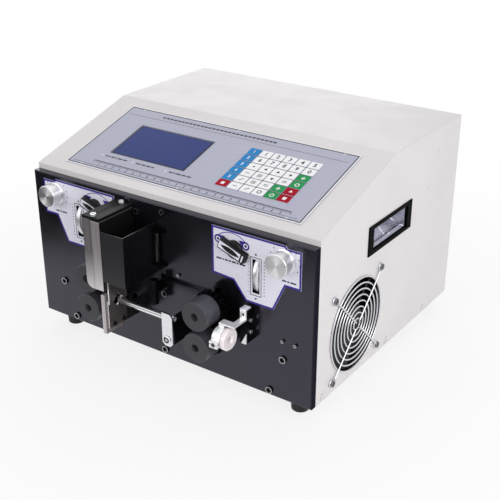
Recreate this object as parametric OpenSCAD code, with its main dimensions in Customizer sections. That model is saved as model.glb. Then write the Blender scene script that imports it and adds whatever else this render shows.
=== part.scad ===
// Bench-top automatic wire cutting and stripping machine.
// Wire enters through the eyelet on the right, runs between two pairs of feed
// rollers with a swinging guide tube between them, and is cut and stripped by
// a pair of V-notched blades in the tower left of the middle.
// Modelled with X across the machine, Y from front to back and Z up.

/* [Case] */
// Width of the sheet-metal case
case_w = 410; // [400:1:430]
// Depth of the case behind the front plate
case_d = 340; // [330:1:370]
// Height of the case from its underside to its flat top
case_h = 251; // [246:1:270]
// Horizontal run of the sloped control face
slope_run = 162; // [156:1:180]
// Height of the white lip above the front plate
lip_h = 7; // [5:0.5:12]
// Thickness of the case sheet
sheet_t = 1.5; // [1:0.1:2.5]
// Thickness of the base sheet
base_t = 2; // [1.5:0.1:3]
// Height of the rubber feet
foot_h = 20; // [12:1:30]
// Radius of the rubber feet
foot_r = 12; // [9:0.5:16]
// Distance of each foot's axis from the case's side
foot_inset = 28; // [20:1:50]
// Distance of each foot's axis from the front and back of the case
foot_setback = 14; // [12:1:40]

/* [Front plate] */
// Height of the black front plate
plate_h = 196; // [194:1:206]
// Thickness of the black front plate
plate_t = 9; // [7:0.5:12]
// Chamfer along the plate's front edges
plate_chamfer = 1; // [0.5:0.1:2]
// Thickness of the two printed dial labels
label_t = 0.8; // [0.5:0.1:1.5]

/* [Feed rollers] */
// Distance of the roller axes from the middle plane
roller_x = 81; // [78:0.5:86]
// Height of the wire line above the case floor
nip_z = 80; // [78:0.5:84]
// Distance of the wire line in front of the plate
wire_out = 36; // [35:0.5:38]
// Radius of the feed rollers
roller_r = 17.5; // [16:0.25:18]
// Length of the feed rollers
roller_len = 25; // [20:0.5:26]
// Gap between the open rollers
roller_gap = 4; // [3.5:0.1:4.5]
// Travel of the upper rollers when they are pressed on the wire
press_stroke = 3; // [2:0.1:3]
// Radius of the roller shafts
shaft_r = 6; // [5:0.25:6.5]
// Teeth on each roller gear
gear_teeth = 18; // [18:2:18]
// Length of each roller gear
gear_len = 9; // [6:0.5:10]

/* [Cutter] */
// Distance of the cutter tower's face in front of the plate
tower_out = 57; // [56:0.5:62]
// Left side of the cutter tower
tower_x0 = -68.5; // [-72:0.5:-66]
// Width of the fixed column of the tower
column_w = 12.2; // [11:0.1:12.4]
// Width of the upper blade carrier
carrier_w = 13; // [12:0.1:13.4]
// Height of the tower's foot above the case floor
tower_z0 = 98; // [97:0.5:102]
// Height of the tower's column and carrier
tower_h = 88; // [84:0.5:90]
// Travel of each blade from open to closed
blade_travel = 8; // [5:0.5:8]
// Thickness of the blades
blade_t = 2; // [1.5:0.1:2.5]
// Depth of the V notch in the blades
notch_d = 10; // [8:0.5:10]
// Radius of the twin-thread screw
screw_r = 5; // [4:0.25:5.5]

/* [Cutter cover] */
// Width of the black cover beside the tower
cover_w = 33.4; // [30:0.2:36]
// Height of the cover
cover_h = 63; // [58:0.5:66]
// Thickness of the cover sheet
cover_t = 1.5; // [1.2:0.1:2]

/* [Guide tube and inlet] */
// Outside radius of the guide tube
tube_r = 4; // [3.5:0.1:4.4]
// Inside radius of the guide tube
tube_bore_r = 2.6; // [2:0.1:3]
// Width of the tube's bracket strip
strip_w = 15; // [13:0.5:17]
// Radius of the white inlet eyelet
eyelet_r = 13; // [11:0.5:14]
// Radius of the wire hole through the eyelet
eyelet_bore_r = 3.5; // [2.5:0.1:4.5]

/* [Knobs] */
// Radius of the aluminium gap knobs
gap_knob_r = 15; // [13:0.25:16]
// Length of the aluminium gap knobs
gap_knob_len = 20; // [17:0.5:24]
// Radius of the black press knobs' skirts
press_knob_r = 16; // [14:0.25:18]
// Length of the bar across each press knob
press_bar_l = 40; // [34:0.5:42]
// Width of the bar across each press knob
press_bar_w = 14; // [11:0.5:16]
// Height of the press knobs in front of the plate
press_knob_h = 15; // [12:0.5:18]
// Radius of the pressure thumbwheels
wheel_r = 30; // [28:0.5:31]
// Width of the pressure thumbwheels
wheel_w = 8.2; // [7:0.1:8.6]

/* [Control face] */
// Width of the control overlay
overlay_w = 343; // [330:1:360]
// Length of the control overlay along the slope
overlay_l = 135; // [130:1:140]
// Thickness of the control overlay
overlay_t = 1; // [0.6:0.1:1.5]
// Width of the display window
lcd_w = 114; // [108:0.5:118]
// Length of the display window along the slope
lcd_l = 63; // [58:0.5:66]
// Spacing of the keys across the machine
key_pitch_x = 16.7; // [15.5:0.1:17.5]
// Spacing of the keys along the slope
key_pitch_s = 13.2; // [12.2:0.1:14]
// Gap between neighbouring keys
key_gap = 1.2; // [1:0.1:2]
// Height of the embossed keys
key_h = 0.6; // [0.4:0.1:1]

/* [Fan] */
// Side of the square fan frame
fan_size = 120; // [120:1:122]
// Thickness of the fan frame
fan_t = 25; // [20:0.5:32]
// Spacing of the fan's screws
fan_pitch = 105; // [104:0.5:106]
// Wire diameter of the fan guard
guard_wire = 2.2; // [1.8:0.1:3]
// Radius of the guard's outer ring
guard_r = 57; // [55:0.5:58]
// Number of rings in the guard
guard_rings = 8; // [6:1:9]

/* [Handles and power] */
// Length of the side pocket handles
pocket_l = 100.5; // [94:0.5:108]
// Height of the side pocket handles
pocket_h = 31; // [28:0.5:36]
// Depth of the side pocket handles
pocket_d = 24; // [18:0.5:30]

/* [Hidden] */

$fn = 64;

// General clearances
slack = 0.3;
run_fit = 0.05;
seat_fit = 0.05;
eps = 1;

// Case heights and planes, with Y = 0 at the face of the front plate
floor_z = foot_h;
back_y = plate_t + case_d;
rise = case_h - plate_h - lip_h;
slope_a = atan2(rise, slope_run);
slope_len = norm([slope_run, rise]);
side_x = case_w / 2;
inner_x = side_x - sheet_t;

// Feed geometry
axis_gap = 2 * roller_r + roller_gap;
lower_z = floor_z + nip_z - axis_gap / 2;
upper_z = lower_z + axis_gap;
roller_out0 = wire_out - roller_len / 2 - 1.5;
roller_out1 = roller_out0 + roller_len;
gear_out1 = roller_out0 - 0.5;
gear_out0 = gear_out1 - gear_len;
gear_pitch_r = (axis_gap - press_stroke) / 2;
gear_add = 2.2;
gear_ded = 2.6;
tooth_share = 0.22;
counterbore_r = 5;
counterbore_d = 10;
roller_web = 2;
screw_head_r = 4.2;
bearing_r = 11;
bearing_flange_r = 13;
slot_r = shaft_r + 1;
slot_up = 10;

// Lift blocks behind the plate
block_half = 15;
block_t = 18;
block_y0 = plate_t + slack;
block_y1 = block_y0 + block_t;
block_mid_y = (block_y0 + block_y1) / 2;
block_below = 12;
block_above = 14;
stem_half = 6;
gib_w = 7;
gib_lip = 4.5;
gib_h = 40;
circlip_t = 1.2;
circlip_r = shaft_r + 2.5;

// Knobs and wheels
press_x = 103;
press_z = floor_z + 170;
press_shaft_r = 5;
gap_x = 167.5;
gap_z = floor_z + 174;
gap_shaft_r = 4;
cam_r = 10;
cam_t = 6;
cam_y0 = block_y0 + 2;
tab_z1 = press_z - cam_r - 0.5;
tab_t = 8;
tab_over = 8;
wheel_x = 130.8;
wheel_z = floor_z + 144.5;
wheel_proud = 5;
wheel_y = wheel_r - wheel_proud;
wheel_slot_h = 41;
wheel_room = 1;
wheel_slot_w = wheel_w + 1.4;
axle_r = 3;
ear_t = 4;
ear_gap = 0.6;

// Springs that press the upper rollers down
spring_r = 6;
spring_wire = 1.2;
spring_turns = 6;
spring_z0 = tab_z1;
spring_z1 = spring_z0 + 27;
seat_t = 4;

// Feed and cutter motors
motor_side = 57;
motor_len = 56;
motor_y0 = plate_t + 32;
motor_bolt = 47.14;
pillar_r = 4;
cutter_motor_len = 41;

// Cutter tower
tower_top = floor_z + tower_z0 + tower_h;
lid_t = 3;
lid_over = 0.5;
column_x1 = tower_x0 + column_w;
carrier_x0 = column_x1 + slack;
carrier_x1 = carrier_x0 + carrier_w;
carrier_top = tower_top - 2;
carrier_z0 = floor_z + tower_z0;
corner_r = 9;
blade_gap = 0.1;
lower_x1 = carrier_x1 - blade_t - blade_gap;
lower_w = 5.5;
lower_x0 = lower_x1 - lower_w;
lower_out0 = 24;
lower_out1 = tower_out - 2.3;
lower_z0 = floor_z + 40;
lower_body_h = 24;
strip_top = floor_z + 91;
strip_d = 7;
pocket_clear = 0.7;
blade_half = 15;
upper_blade_z0 = floor_z + nip_z + blade_travel - notch_d + 0.5;
upper_blade_z1 = floor_z + 111;
lower_blade_z1 = floor_z + nip_z - blade_travel + notch_d - 0.5;
lower_blade_z0 = floor_z + 46;
blade_screw_r = 3;
blade_screw_h = 3;
blade_screw_in = 5;
lead_x = -42;
lead_y = plate_t + 31;
nut_r = 9;
tongue_w = 6;
upper_nut_z = floor_z + 106;
upper_nut_h = 22;
lower_nut_z = floor_z + 44;
lower_nut_h = 18;
lead_z0 = floor_z + 28;
lead_z1 = floor_z + 160;
bracket_z = floor_z + 146;
bracket_t = 4;
bearing_block_h = 8;

// Cutter cover and its hinge
cover_x0 = carrier_x1 + 0.7;
cover_x1 = cover_x0 + cover_w;
cover_z0 = floor_z + 111;
cover_out = tower_out;
hinge_x = cover_x1 + 3.5;
hinge_out = 4;
hinge_pin_r = 1.5;
knuckle_r = 3;
knuckle_z0 = cover_z0 + 16;
knuckle_h = 36;

// Guide tube and its pivot
tube_x0 = carrier_x1 + 4.5;
tube_x1 = 44;
tube_z = floor_z + nip_z;
strip_x1 = tube_x1;
strip_x0 = strip_x1 - strip_w;
strip_t = 2.7;
strip_out0 = wire_out + 2.3;
strip_z0 = floor_z + 45;
strip_z1 = tube_z + 7;
pivot_x = (strip_x0 + strip_x1) / 2;
pivot_z = floor_z + 54;
pivot_r = 3;
guide_block_out = strip_out0 - slack;
guide_block_top = tube_z - tube_r - 2;
post_x = -3;
post_out = 14;
post_r = 4.5;
post_z0 = floor_z + 77;
post_z1 = floor_z + 108;
groove_x0 = -4;
groove_x1 = roller_x - slot_r - 2;
groove_z = floor_z + 107;
groove_w = 6.5;
groove_d = 4;

// Wire inlet on the right
eyelet_x0 = 103;
eyelet_x1 = 122;
eyelet_flange = 5;
eyelet_tube_r = 8;
collar_x0 = 104.5;
collar_x1 = 115.5;
collar_r = 12;
inlet_x0 = 118;
inlet_x1 = 127.5;
inlet_out = 13;
inlet_z0 = floor_z + 65.5;
inlet_z1 = floor_z + 107;
arm_t = 2;
arm_w = 8;
arm_back = 8;
arm_reach_z = tube_z + 15;

// Control face
overlay_s0 = (slope_len - overlay_l) / 2 - 2.5;
lcd_x = -69.5;
lcd_s = overlay_s0 + overlay_l / 2;
lcd_room = 2;
key_cols = 6;
key_rows = 6;
key_x0 = 47.5;
key_s0 = lcd_s - 2.3 - key_pitch_s * (key_rows - 1) / 2;
module_w = lcd_w + 30;
module_l = lcd_l + 41;
glass_t = 1.2;

// Fan on the right side
fan_y = plate_t + 84.5;
fan_z = floor_z + 66.8;
fan_bore_r = fan_size / 2 - 2.5;
fan_x1 = inner_x;
fan_x0 = fan_x1 - fan_t;
fan_hub_r = 20;
fan_pin_r = 3;
fan_blades = 7;
blade_pitch = 40;
guard_inner_r = 7;
loop_r = 4.2;
pan_r = 4;
pan_h = 1.8;
guard_proud = 2 * guard_wire - 0.4;

// Pocket handles
pocket_y = plate_t + 157;
pocket_z = floor_z + 161.7;
pocket_wall = 2;
pocket_flange = 3;
pocket_end = 8.5;
pocket_flange_t = 1.5;

// Power inlet on the back
inlet_w = 27;
inlet_h = 47;
inlet_flange = 3;
inlet_flange_t = 2.5;
inlet_deep = 26;
inlet_x = -120;
inlet_z = floor_z + 62;
socket_w = 22;
socket_h = 16;
socket_d = 16;
socket_dz = -12;
rocker_w = 12.4;
rocker_h = 18.4;
rocker_dz = 11.2;
rocker_room = 1.9;
rocker_proud = 3;
rocker_deep = 8;
rocker_pin_r = 1.5;
rocker_pin_in = 3;
vent_rows = 4;
vent_w = 60;
vent_h = 9;
vent_pitch = 19;

// The frame's origin: middle of the whole machine's box, on the floor
front_reach = tower_out + lid_over;
back_reach = inlet_flange_t + rocker_proud;
origin_x = (guard_proud - max(pocket_flange_t, pan_h)) / 2;
origin_y = (back_y + back_reach - front_reach) / 2;

// A box between two corners given as ranges along X, Y and Z
module block(x, y, z) {
    translate([x[0], y[0], z[0]])
        cube([x[1] - x[0], y[1] - y[0], z[1] - z[0]]);
}

// A rod along X from x0 to x1
module rod_x(r, x0, x1) {
    translate([x0, 0, 0])
        rotate([0, 90, 0])
            cylinder(h = x1 - x0, r = r);
}

// A rod along Y from y0 to y1
module rod_y(r, y0, y1) {
    translate([0, y1, 0])
        rotate([90, 0, 0])
            cylinder(h = y1 - y0, r = r);
}

// A shape turned about the Y axis, its profile given as [radius, distance in front]
module turned_y(profile) {
    rotate([90, 0, 0])
        rotate_extrude()
            polygon(profile);
}

// A shape turned about the X axis, its profile given as [radius, distance along X]
module turned_x(profile) {
    rotate([0, 90, 0])
        rotate_extrude()
            polygon(profile);
}

// A profile in [Y, Z] drawn out along X between x0 and x1
module drawn_x(x0, x1) {
    translate([x0, 0, 0])
        rotate([90, 0, 90])
            linear_extrude(x1 - x0)
                children();
}

// A profile in [X, Z] drawn out along Y between y0 and y1
module drawn_y(y0, y1) {
    translate([0, y1, 0])
        rotate([90, 0, 0])
            linear_extrude(y1 - y0)
                children();
}

// Puts a piece on the sloped face: Y runs up the slope and Z stands off it
module on_slope() {
    translate([0, plate_t, floor_z + plate_h + lip_h])
        rotate([slope_a, 0, 0])
            children();
}

// Keeps the right-hand piece, or mirrors it to the left side
module on_side(right) {
    if (right)
        children();
    else
        mirror([1, 0, 0])
            children();
}

// Repeats a piece at both sides
module both_sides() {
    on_side(true)
        children();
    on_side(false)
        children();
}

// The case's outline in [Y, Z], let in by t from the top and the slope
module case_outline(t) {
    drop = t / cos(slope_a);
    ridge = t * tan(slope_a / 2);
    polygon([
        [plate_t, floor_z],
        [back_y, floor_z],
        [back_y, floor_z + case_h - t],
        [plate_t + slope_run + ridge, floor_z + case_h - t],
        [plate_t, floor_z + plate_h + lip_h - drop]
    ]);
}

// Positions of the fan's four screws, as [Y, Z]
fan_screws = [for (i = [-1, 1], j = [-1, 1]) [fan_y + i * fan_pitch / 2, fan_z + j * fan_pitch / 2]];

// Positions of the screws that hold the cover to the base and the inside, as [Y, Z]
cover_screws = [for (y = [plate_t + 13, plate_t + 165, plate_t + 268]) [y, floor_z + 6]];

// Positions of the front plate's socket screws, as [X, height, head radius]
plate_holes = [
    [167, 52.7, 4.5], [-167, 52.7, 4.5], [149.6, 7, 4.5], [-149.6, 7, 4.5], [-2, 8, 4.5],
    [1.4, 189, 3.5], [0.5, 84.6, 4], [22.6, 115, 2.2], [-37.5, 181, 4], [166.5, 75.9, 2.2],
    [183, 75.9, 2.2]
];

// Cuts in one side wall for the fan, its screws and the pocket handle
module side_cuts(with_fan) {
    drawn_x(inner_x - eps, side_x + eps) {
        translate([pocket_y, pocket_z])
            square([pocket_l, pocket_h], center = true);
        for (p = cover_screws)
            translate(p)
                circle(r = pan_r / 2 + slack);
        if (with_fan) {
            translate([fan_y, fan_z])
                circle(r = fan_bore_r);
            for (p = fan_screws)
                translate(p)
                    circle(r = pan_r / 2 + slack);
        }
    }
}

module case_cover() {
    color("ivory")
        difference() {
            drawn_x(-side_x, side_x)
                case_outline(0);
            drawn_x(-inner_x, inner_x)
                difference() {
                    translate([plate_t - eps, floor_z - eps])
                        square([case_d + 2 * eps, case_h + eps]);
                    difference() {
                        translate([plate_t - eps, floor_z - eps])
                            square([case_d + 2 * eps, case_h + 2 * eps]);
                        translate([plate_t - eps, floor_z - eps])
                            square([2 * eps, plate_h + eps]);
                        translate([back_y - eps, floor_z - eps])
                            square([2 * eps, case_h + eps - sheet_t]);
                        translate([plate_t, floor_z - eps])
                            square([case_d, 2 * eps]);
                        intersection() {
                            case_outline(sheet_t);
                            union() {
                                translate([plate_t + sheet_t, floor_z])
                                    square([case_d, case_h]);
                                translate([plate_t, floor_z])
                                    square([case_d, plate_h]);
                            }
                        }
                    }
                }
            side_cuts(true);
            mirror([1, 0, 0])
                side_cuts(false);
            on_slope()
                translate([lcd_x, lcd_s, 0])
                    cube([lcd_w + 2 * lcd_room, lcd_l + 2 * lcd_room, 20], center = true);
        }
}

module base_tray() {
    wall = inner_x - slack;
    color("gainsboro")
        difference() {
            block([-wall, wall], [plate_t, back_y - sheet_t - slack], [floor_z, floor_z + 14]);
            block([base_t - wall, wall - base_t], [plate_t + base_t, back_y - sheet_t - slack - base_t],
                [floor_z + base_t, floor_z + 14 + eps]);
            for (p = cover_screws)
                translate([0, p[0], p[1]])
                    rod_x(pan_r / 2 + slack, -side_x, side_x);
            block([fan_x0, side_x], [fan_y - fan_size / 2 - eps, fan_y + fan_size / 2 + eps],
                [fan_z - fan_size / 2 - eps, floor_z + 14 + eps]);
        }
}

module back_panel() {
    wall = inner_x - slack;
    color("ivory")
        difference() {
            block([-wall, wall], [back_y - sheet_t, back_y],
                [floor_z, floor_z + case_h - sheet_t - slack]);
            block([inlet_x - inlet_w / 2, inlet_x + inlet_w / 2], [back_y - 2 * sheet_t, back_y + eps],
                [inlet_z - inlet_h / 2, inlet_z + inlet_h / 2]);
            for (x = [40, 120], i = [0 : vent_rows - 1])
                translate([x, 0, floor_z + 60 + i * vent_pitch])
                    block([-vent_w / 2, vent_w / 2], [back_y - 2 * sheet_t, back_y + eps], [0, vent_h]);
        }
}

// Upright slot with round ends, its two centres at z0 and z1
module round_slot(r, z0, z1) {
    translate([0, z0])
        circle(r = r);
    translate([0, z1])
        circle(r = r);
    translate([-r, z0])
        square([2 * r, z1 - z0]);
}

// Holes that both ends of the front plate share
module feed_holes() {
    translate([roller_x, lower_z])
        circle(r = bearing_r);
    translate([roller_x, 0])
        round_slot(slot_r, upper_z - press_stroke - 1, upper_z + slot_up);
    translate([press_x, press_z])
        circle(r = press_shaft_r + run_fit);
    translate([gap_x, gap_z])
        circle(r = gap_shaft_r + run_fit);
    translate([wheel_x, wheel_z])
        square([wheel_slot_w, wheel_slot_h], center = true);
}

module front_plate() {
    c = plate_chamfer;
    top = floor_z + plate_h;
    color("#1c1c1e")
        difference() {
            intersection() {
                linear_extrude(2 * top)
                    polygon([[-side_x, plate_t], [-side_x, c], [c - side_x, 0],
                        [side_x - c, 0], [side_x, c], [side_x, plate_t]]);
                drawn_x(-side_x, side_x)
                    polygon([[plate_t, floor_z], [c, floor_z], [0, floor_z + c],
                        [0, top - c], [c, top], [plate_t, top]]);
            }
            drawn_y(-eps, plate_t + eps) {
                feed_holes();
                mirror([1, 0])
                    feed_holes();
                translate([lower_x0 - pocket_clear, lower_nut_z - eps])
                    square([tongue_w + 2 * pocket_clear, lower_nut_h + blade_travel + 2 * eps]);
                translate([lead_x - 8 - pocket_clear, upper_nut_z - blade_travel - eps])
                    square([tongue_w + 2 * pocket_clear, upper_nut_h + blade_travel + 2 * eps]);
                for (p = plate_holes)
                    translate([p[0], floor_z + p[1]])
                        circle(r = p[2] / 2 + seat_fit);
            }
            both_sides()
                translate([wheel_x, wheel_y, wheel_z])
                    rod_x(wheel_r + wheel_room, -wheel_slot_w / 2, wheel_slot_w / 2);
            drawn_y(-eps, groove_d)
                translate([groove_x0, groove_z - groove_w / 2])
                    square([groove_x1 - groove_x0, groove_w]);
        }
}

// Outline of the right-hand dial label, in [X, height above the case floor]
label_points = [
    [72, 191.5], [168, 191.5], [171, 188.5], [188.5, 188.5], [188.5, 144], [169, 144],
    [154, 111], [117.5, 111], [101, 132], [72, 134]
];

module dial_labels() {
    color("#dcdce8")
        both_sides()
            drawn_y(-label_t, 0)
                translate([0, floor_z])
                    difference() {
                        polygon(label_points);
                        translate([press_x, press_z - floor_z])
                            circle(r = press_shaft_r + 1);
                        translate([gap_x, gap_z - floor_z])
                            circle(r = gap_shaft_r + 1);
                        translate([wheel_x, wheel_z - floor_z])
                            square([wheel_slot_w, wheel_slot_h], center = true);
                    }
}

module control_overlay() {
    color("#b5b7c9")
        on_slope() {
            difference() {
                translate([-overlay_w / 2, overlay_s0, 0])
                    cube([overlay_w, overlay_l, overlay_t]);
                translate([lcd_x, lcd_s, 0])
                    cube([lcd_w, lcd_l, 4 * overlay_t], center = true);
            }
            for (i = [0 : key_cols - 1], j = [0 : key_rows - 1])
                translate([key_x0 + i * key_pitch_x, key_s0 + j * key_pitch_s, overlay_t])
                    translate([(key_gap - key_pitch_x) / 2, (key_gap - key_pitch_s) / 2, -overlay_t / 2])
                        cube([key_pitch_x - key_gap, key_pitch_s - key_gap, key_h + overlay_t / 2]);
        }
}

module display_window() {
    color("#35457a")
        on_slope()
            translate([lcd_x, lcd_s, overlay_t - slack - glass_t / 2])
                cube([lcd_w - 2 * seat_fit, lcd_l - 2 * seat_fit, glass_t], center = true);
}

module display_module() {
    drop = sheet_t + slack;
    color("darkgreen")
        on_slope() {
            translate([lcd_x - module_w / 2, lcd_s - module_l / 2, -drop - 9.6])
                cube([module_w, module_l, 1.6]);
            translate([lcd_x - lcd_w / 2 - 6, lcd_s - lcd_l / 2 - 6, -drop - 8])
                cube([lcd_w + 12, lcd_l + 12, 8]);
            for (i = [-1, 1], j = [-1, 1])
                translate([lcd_x + i * (module_w / 2 - 5), lcd_s + j * (module_l / 2 - 5), -drop - 9])
                    cylinder(h = drop + 9 - sheet_t, r = 3);
            translate([lcd_x - lcd_w / 2, lcd_s - lcd_l / 2, -drop - eps])
                cube([lcd_w, lcd_l, drop + eps + overlay_t - slack - glass_t]);
        }
}

module fan_frame() {
    half = fan_size / 2;
    strut = 5;
    color("#202022")
        translate([0, fan_y, fan_z]) {
            difference() {
                block([fan_x0, fan_x1], [-half, half], [-half, half]);
                rod_x(fan_bore_r, fan_x0 - eps, fan_x1 + eps);
                for (p = fan_screws)
                    translate([0, p[0] - fan_y, p[1] - fan_z])
                        rod_x(pan_r / 2 + slack, fan_x0 - eps, fan_x1 + eps);
            }
            rod_x(fan_hub_r, fan_x0, fan_x0 + 3);
            rod_x(fan_pin_r, fan_x0, fan_x1 - 5);
            for (a = [45 : 90 : 315])
                rotate([a, 0, 0])
                    block([fan_x0, fan_x0 + 3], [0, fan_bore_r + 1], [-strut / 2, strut / 2]);
        }
}

module fan_rotor() {
    x0 = fan_x0 + 4;
    x1 = fan_x1 - 2;
    tip_r = fan_bore_r - 1.5;
    color("#18181a")
        translate([0, fan_y, fan_z])
            difference() {
                union() {
                    rod_x(fan_hub_r, x0, x1);
                    intersection() {
                        difference() {
                            rod_x(tip_r, x0, x1);
                            rod_x(fan_hub_r - 2, x0 - eps, x1 + eps);
                        }
                        for (i = [0 : fan_blades - 1])
                            rotate([i * 360 / fan_blades, 0, 0])
                                translate([(x0 + x1) / 2, 0, 0])
                                    rotate([0, 0, blade_pitch])
                                        block([-1, 1], [-20, 20], [fan_hub_r - 2, tip_r + 5]);
                    }
                }
                rod_x(fan_pin_r + run_fit, x0 - eps, fan_x1 - 4);
            }
}

module fan_guard() {
    wire = guard_wire / 2;
    ring_x = side_x + wire;
    rib_x = ring_x + guard_wire - 0.4;
    loop_y = fan_pitch / sqrt(2);
    rib_end = loop_y - loop_r - 1.5 * wire;
    color("silver")
        translate([0, fan_y, fan_z]) {
            for (i = [0 : guard_rings - 1])
                translate([ring_x, 0, 0])
                    rotate([0, 90, 0])
                        rotate_extrude()
                            translate([guard_inner_r + i * (guard_r - guard_inner_r) / (guard_rings - 1), 0])
                                circle(r = wire, $fn = 24);
            for (a = [45 : 90 : 315])
                rotate([a, 0, 0]) {
                    translate([rib_x, guard_inner_r - wire, 0])
                        rotate([-90, 0, 0])
                            cylinder(h = rib_end - guard_inner_r + wire, r = wire, $fn = 24);
                    translate([0, rib_end, 0])
                        rod_x(1.2 * wire, ring_x, rib_x + 0.8 * wire);
                    translate([ring_x, loop_y, 0])
                        rotate([0, 90, 0])
                            rotate_extrude()
                                translate([loop_r, 0])
                                    circle(r = wire, $fn = 24);
                }
        }
}

// A cross-recessed pan head screw along X, its seat at x = 0
module pan_screw(shank) {
    difference() {
        union() {
            rod_x(pan_r, 0, pan_h);
            rod_x(pan_r / 2, -shank, 0.5);
        }
        block([pan_h - 0.8, pan_h + eps], [-2, 2], [-0.4, 0.4]);
        block([pan_h - 0.8, pan_h + eps], [-0.4, 0.4], [-2, 2]);
    }
}

module case_screws() {
    color("silver") {
        for (p = fan_screws)
            translate([side_x + guard_wire, p[0], p[1]])
                pan_screw(guard_wire + sheet_t + 12);
        both_sides()
            for (p = cover_screws)
                translate([side_x, p[0], p[1]])
                    pan_screw(sheet_t + slack + base_t + 3);
    }
}

module plate_screws() {
    color("#2a2a2c")
        for (p = plate_holes)
            translate([p[0], 0, floor_z + p[1]])
                difference() {
                    union() {
                        turned_y([[0, 0], [p[2], 0], [p[2], 1.6], [p[2] - 0.6, 2.2], [0, 2.2]]);
                        rod_y(p[2] / 2, -0.5, plate_t);
                    }
                    translate([0, -1, 0])
                        rotate([90, 0, 0])
                            cylinder(h = 2, r = p[2] * 0.5, $fn = 6);
                }
}

module pocket_handle(right) {
    l = pocket_l / 2 - seat_fit;
    h = pocket_h / 2 - seat_fit;
    f = pocket_flange;
    color("#141416")
        on_side(right)
            translate([side_x, pocket_y, pocket_z])
                difference() {
                    union() {
                        block([0, pocket_flange_t], [-l - f, l + f], [-h - f, h + f]);
                        block([-pocket_d, pocket_flange_t / 2], [-l, l], [-h, h]);
                    }
                    drawn_y(pocket_end - l, l - pocket_end)
                        polygon([[pocket_flange_t + eps, h - pocket_wall], [pocket_wall - pocket_d, h - pocket_wall],
                            [pocket_wall - pocket_d, 8 - h], [-8, pocket_wall - h],
                            [pocket_flange_t + eps, pocket_wall - h]]);
                }
}

module handle_left() {
    pocket_handle(false);
}

module handle_right() {
    pocket_handle(true);
}

module feet() {
    recess_r = 4;
    color("#222222")
        both_sides()
            for (y = [plate_t + foot_setback, back_y - sheet_t - foot_setback - 2])
                translate([side_x - foot_inset, y, 0])
                    rotate_extrude()
                        polygon([[recess_r, 0], [foot_r - 2.5, 0], [foot_r - 1.5, 1], [foot_r, foot_h],
                            [0, foot_h], [0, 5], [recess_r, 5]]);
}

module power_inlet() {
    w = inlet_w / 2;
    h = inlet_h / 2;
    f = inlet_flange;
    sz = inlet_z + socket_dz;
    rz = inlet_z + rocker_dz;
    face = back_y + inlet_flange_t;
    color("#161618") {
        difference() {
            union() {
                block([inlet_x - w - f, inlet_x + w + f], [back_y, face], [inlet_z - h - f, inlet_z + h + f]);
                block([inlet_x - w + seat_fit, inlet_x + w - seat_fit], [back_y - inlet_deep, back_y + 0.5],
                    [inlet_z - h + seat_fit, inlet_z + h - seat_fit]);
            }
            block([inlet_x - socket_w / 2, inlet_x + socket_w / 2], [face - socket_d, face + eps],
                [sz - socket_h / 2, sz + socket_h / 2]);
            block([inlet_x - rocker_w / 2 - 0.4, inlet_x + rocker_w / 2 + 0.4], [face - rocker_deep - 3, face + eps],
                [rz - rocker_h / 2 - rocker_room, rz + rocker_h / 2 + rocker_room]);
            translate([inlet_x, face - rocker_pin_in, rz])
                rod_x(rocker_pin_r + run_fit, -rocker_w / 2 - 2, rocker_w / 2 + 2);
        }
        for (x = [-7, 0, 7])
            translate([inlet_x + x, 0, sz + (x == 0 ? 4 : -2.5)])
                block([-1, 1], [face - socket_d - eps, face - 3], [-2.5, 2.5]);
    }
}

// Rocker seen along its axle: a shallow V whose upper half stands proud
module power_rocker() {
    face = back_y + inlet_flange_t;
    half = rocker_h / 2;
    color("#101012")
        translate([inlet_x, 0, inlet_z + rocker_dz]) {
            drawn_x(-rocker_w / 2, rocker_w / 2)
                polygon([
                    [face - rocker_deep, -half * 0.6], [face - 1.5, -half], [face - 0.8, -half],
                    [face + 0.4, 0], [face + rocker_proud, half - 0.6], [face + rocker_proud - 0.6, half],
                    [face - 1.5, half], [face - rocker_deep, half * 0.6]
                ]);
            translate([0, face - rocker_pin_in, 0])
                rod_x(rocker_pin_r, -rocker_w / 2 - 1.7, rocker_w / 2 + 1.7);
        }
}

module power_supply() {
    x0 = -170;
    y0 = back_y - 150;
    z0 = floor_z + base_t;
    size = [99, 120, 42];
    color("#b8babd")
        translate([x0, y0, z0])
            difference() {
                cube(size);
                for (i = [0 : 7])
                    translate([10 + i * 11, 12, size[2] - 2])
                        cube([4, 70, 2 + eps]);
            }
}

module control_board() {
    x0 = -40;
    y0 = back_y - 160;
    z0 = floor_z + base_t;
    size = [180, 130, 1.6];
    lift = 10;
    color("#14532d")
        translate([x0, y0, z0]) {
            translate([0, 0, lift])
                cube(size);
            for (x = [6, size[0] - 6], y = [6, size[1] - 6])
                translate([x, y, 0])
                    cylinder(h = lift + 0.5, r = 3);
            for (i = [0 : 2])
                translate([20 + i * 50, 70, lift + 1])
                    cube([36, 46, 22]);
            translate([16, 14, lift + 1])
                cube([40, 12, 12]);
            translate([80, 20, lift + 1])
                cube([28, 28, 3.6]);
        }
}

// A square stepper motor along Z with its output face at z = 0
module stepper(length) {
    half = motor_side / 2;
    cap = 8;
    intersection() {
        translate([-half, -half, -length])
            cube([motor_side, motor_side, length]);
        rotate([0, 0, 45])
            translate([-half * 1.3, -half * 1.3, -length - eps])
                cube([half * 2.6, half * 2.6, length + 2 * eps]);
        union() {
            translate([-half, -half, -cap])
                cube([motor_side, motor_side, cap + eps]);
            translate([-half + 1, -half + 1, -length])
                cube([motor_side - 2, motor_side - 2, length]);
            translate([-half, -half, -length])
                cube([motor_side, motor_side, cap]);
        }
    }
}

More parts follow.
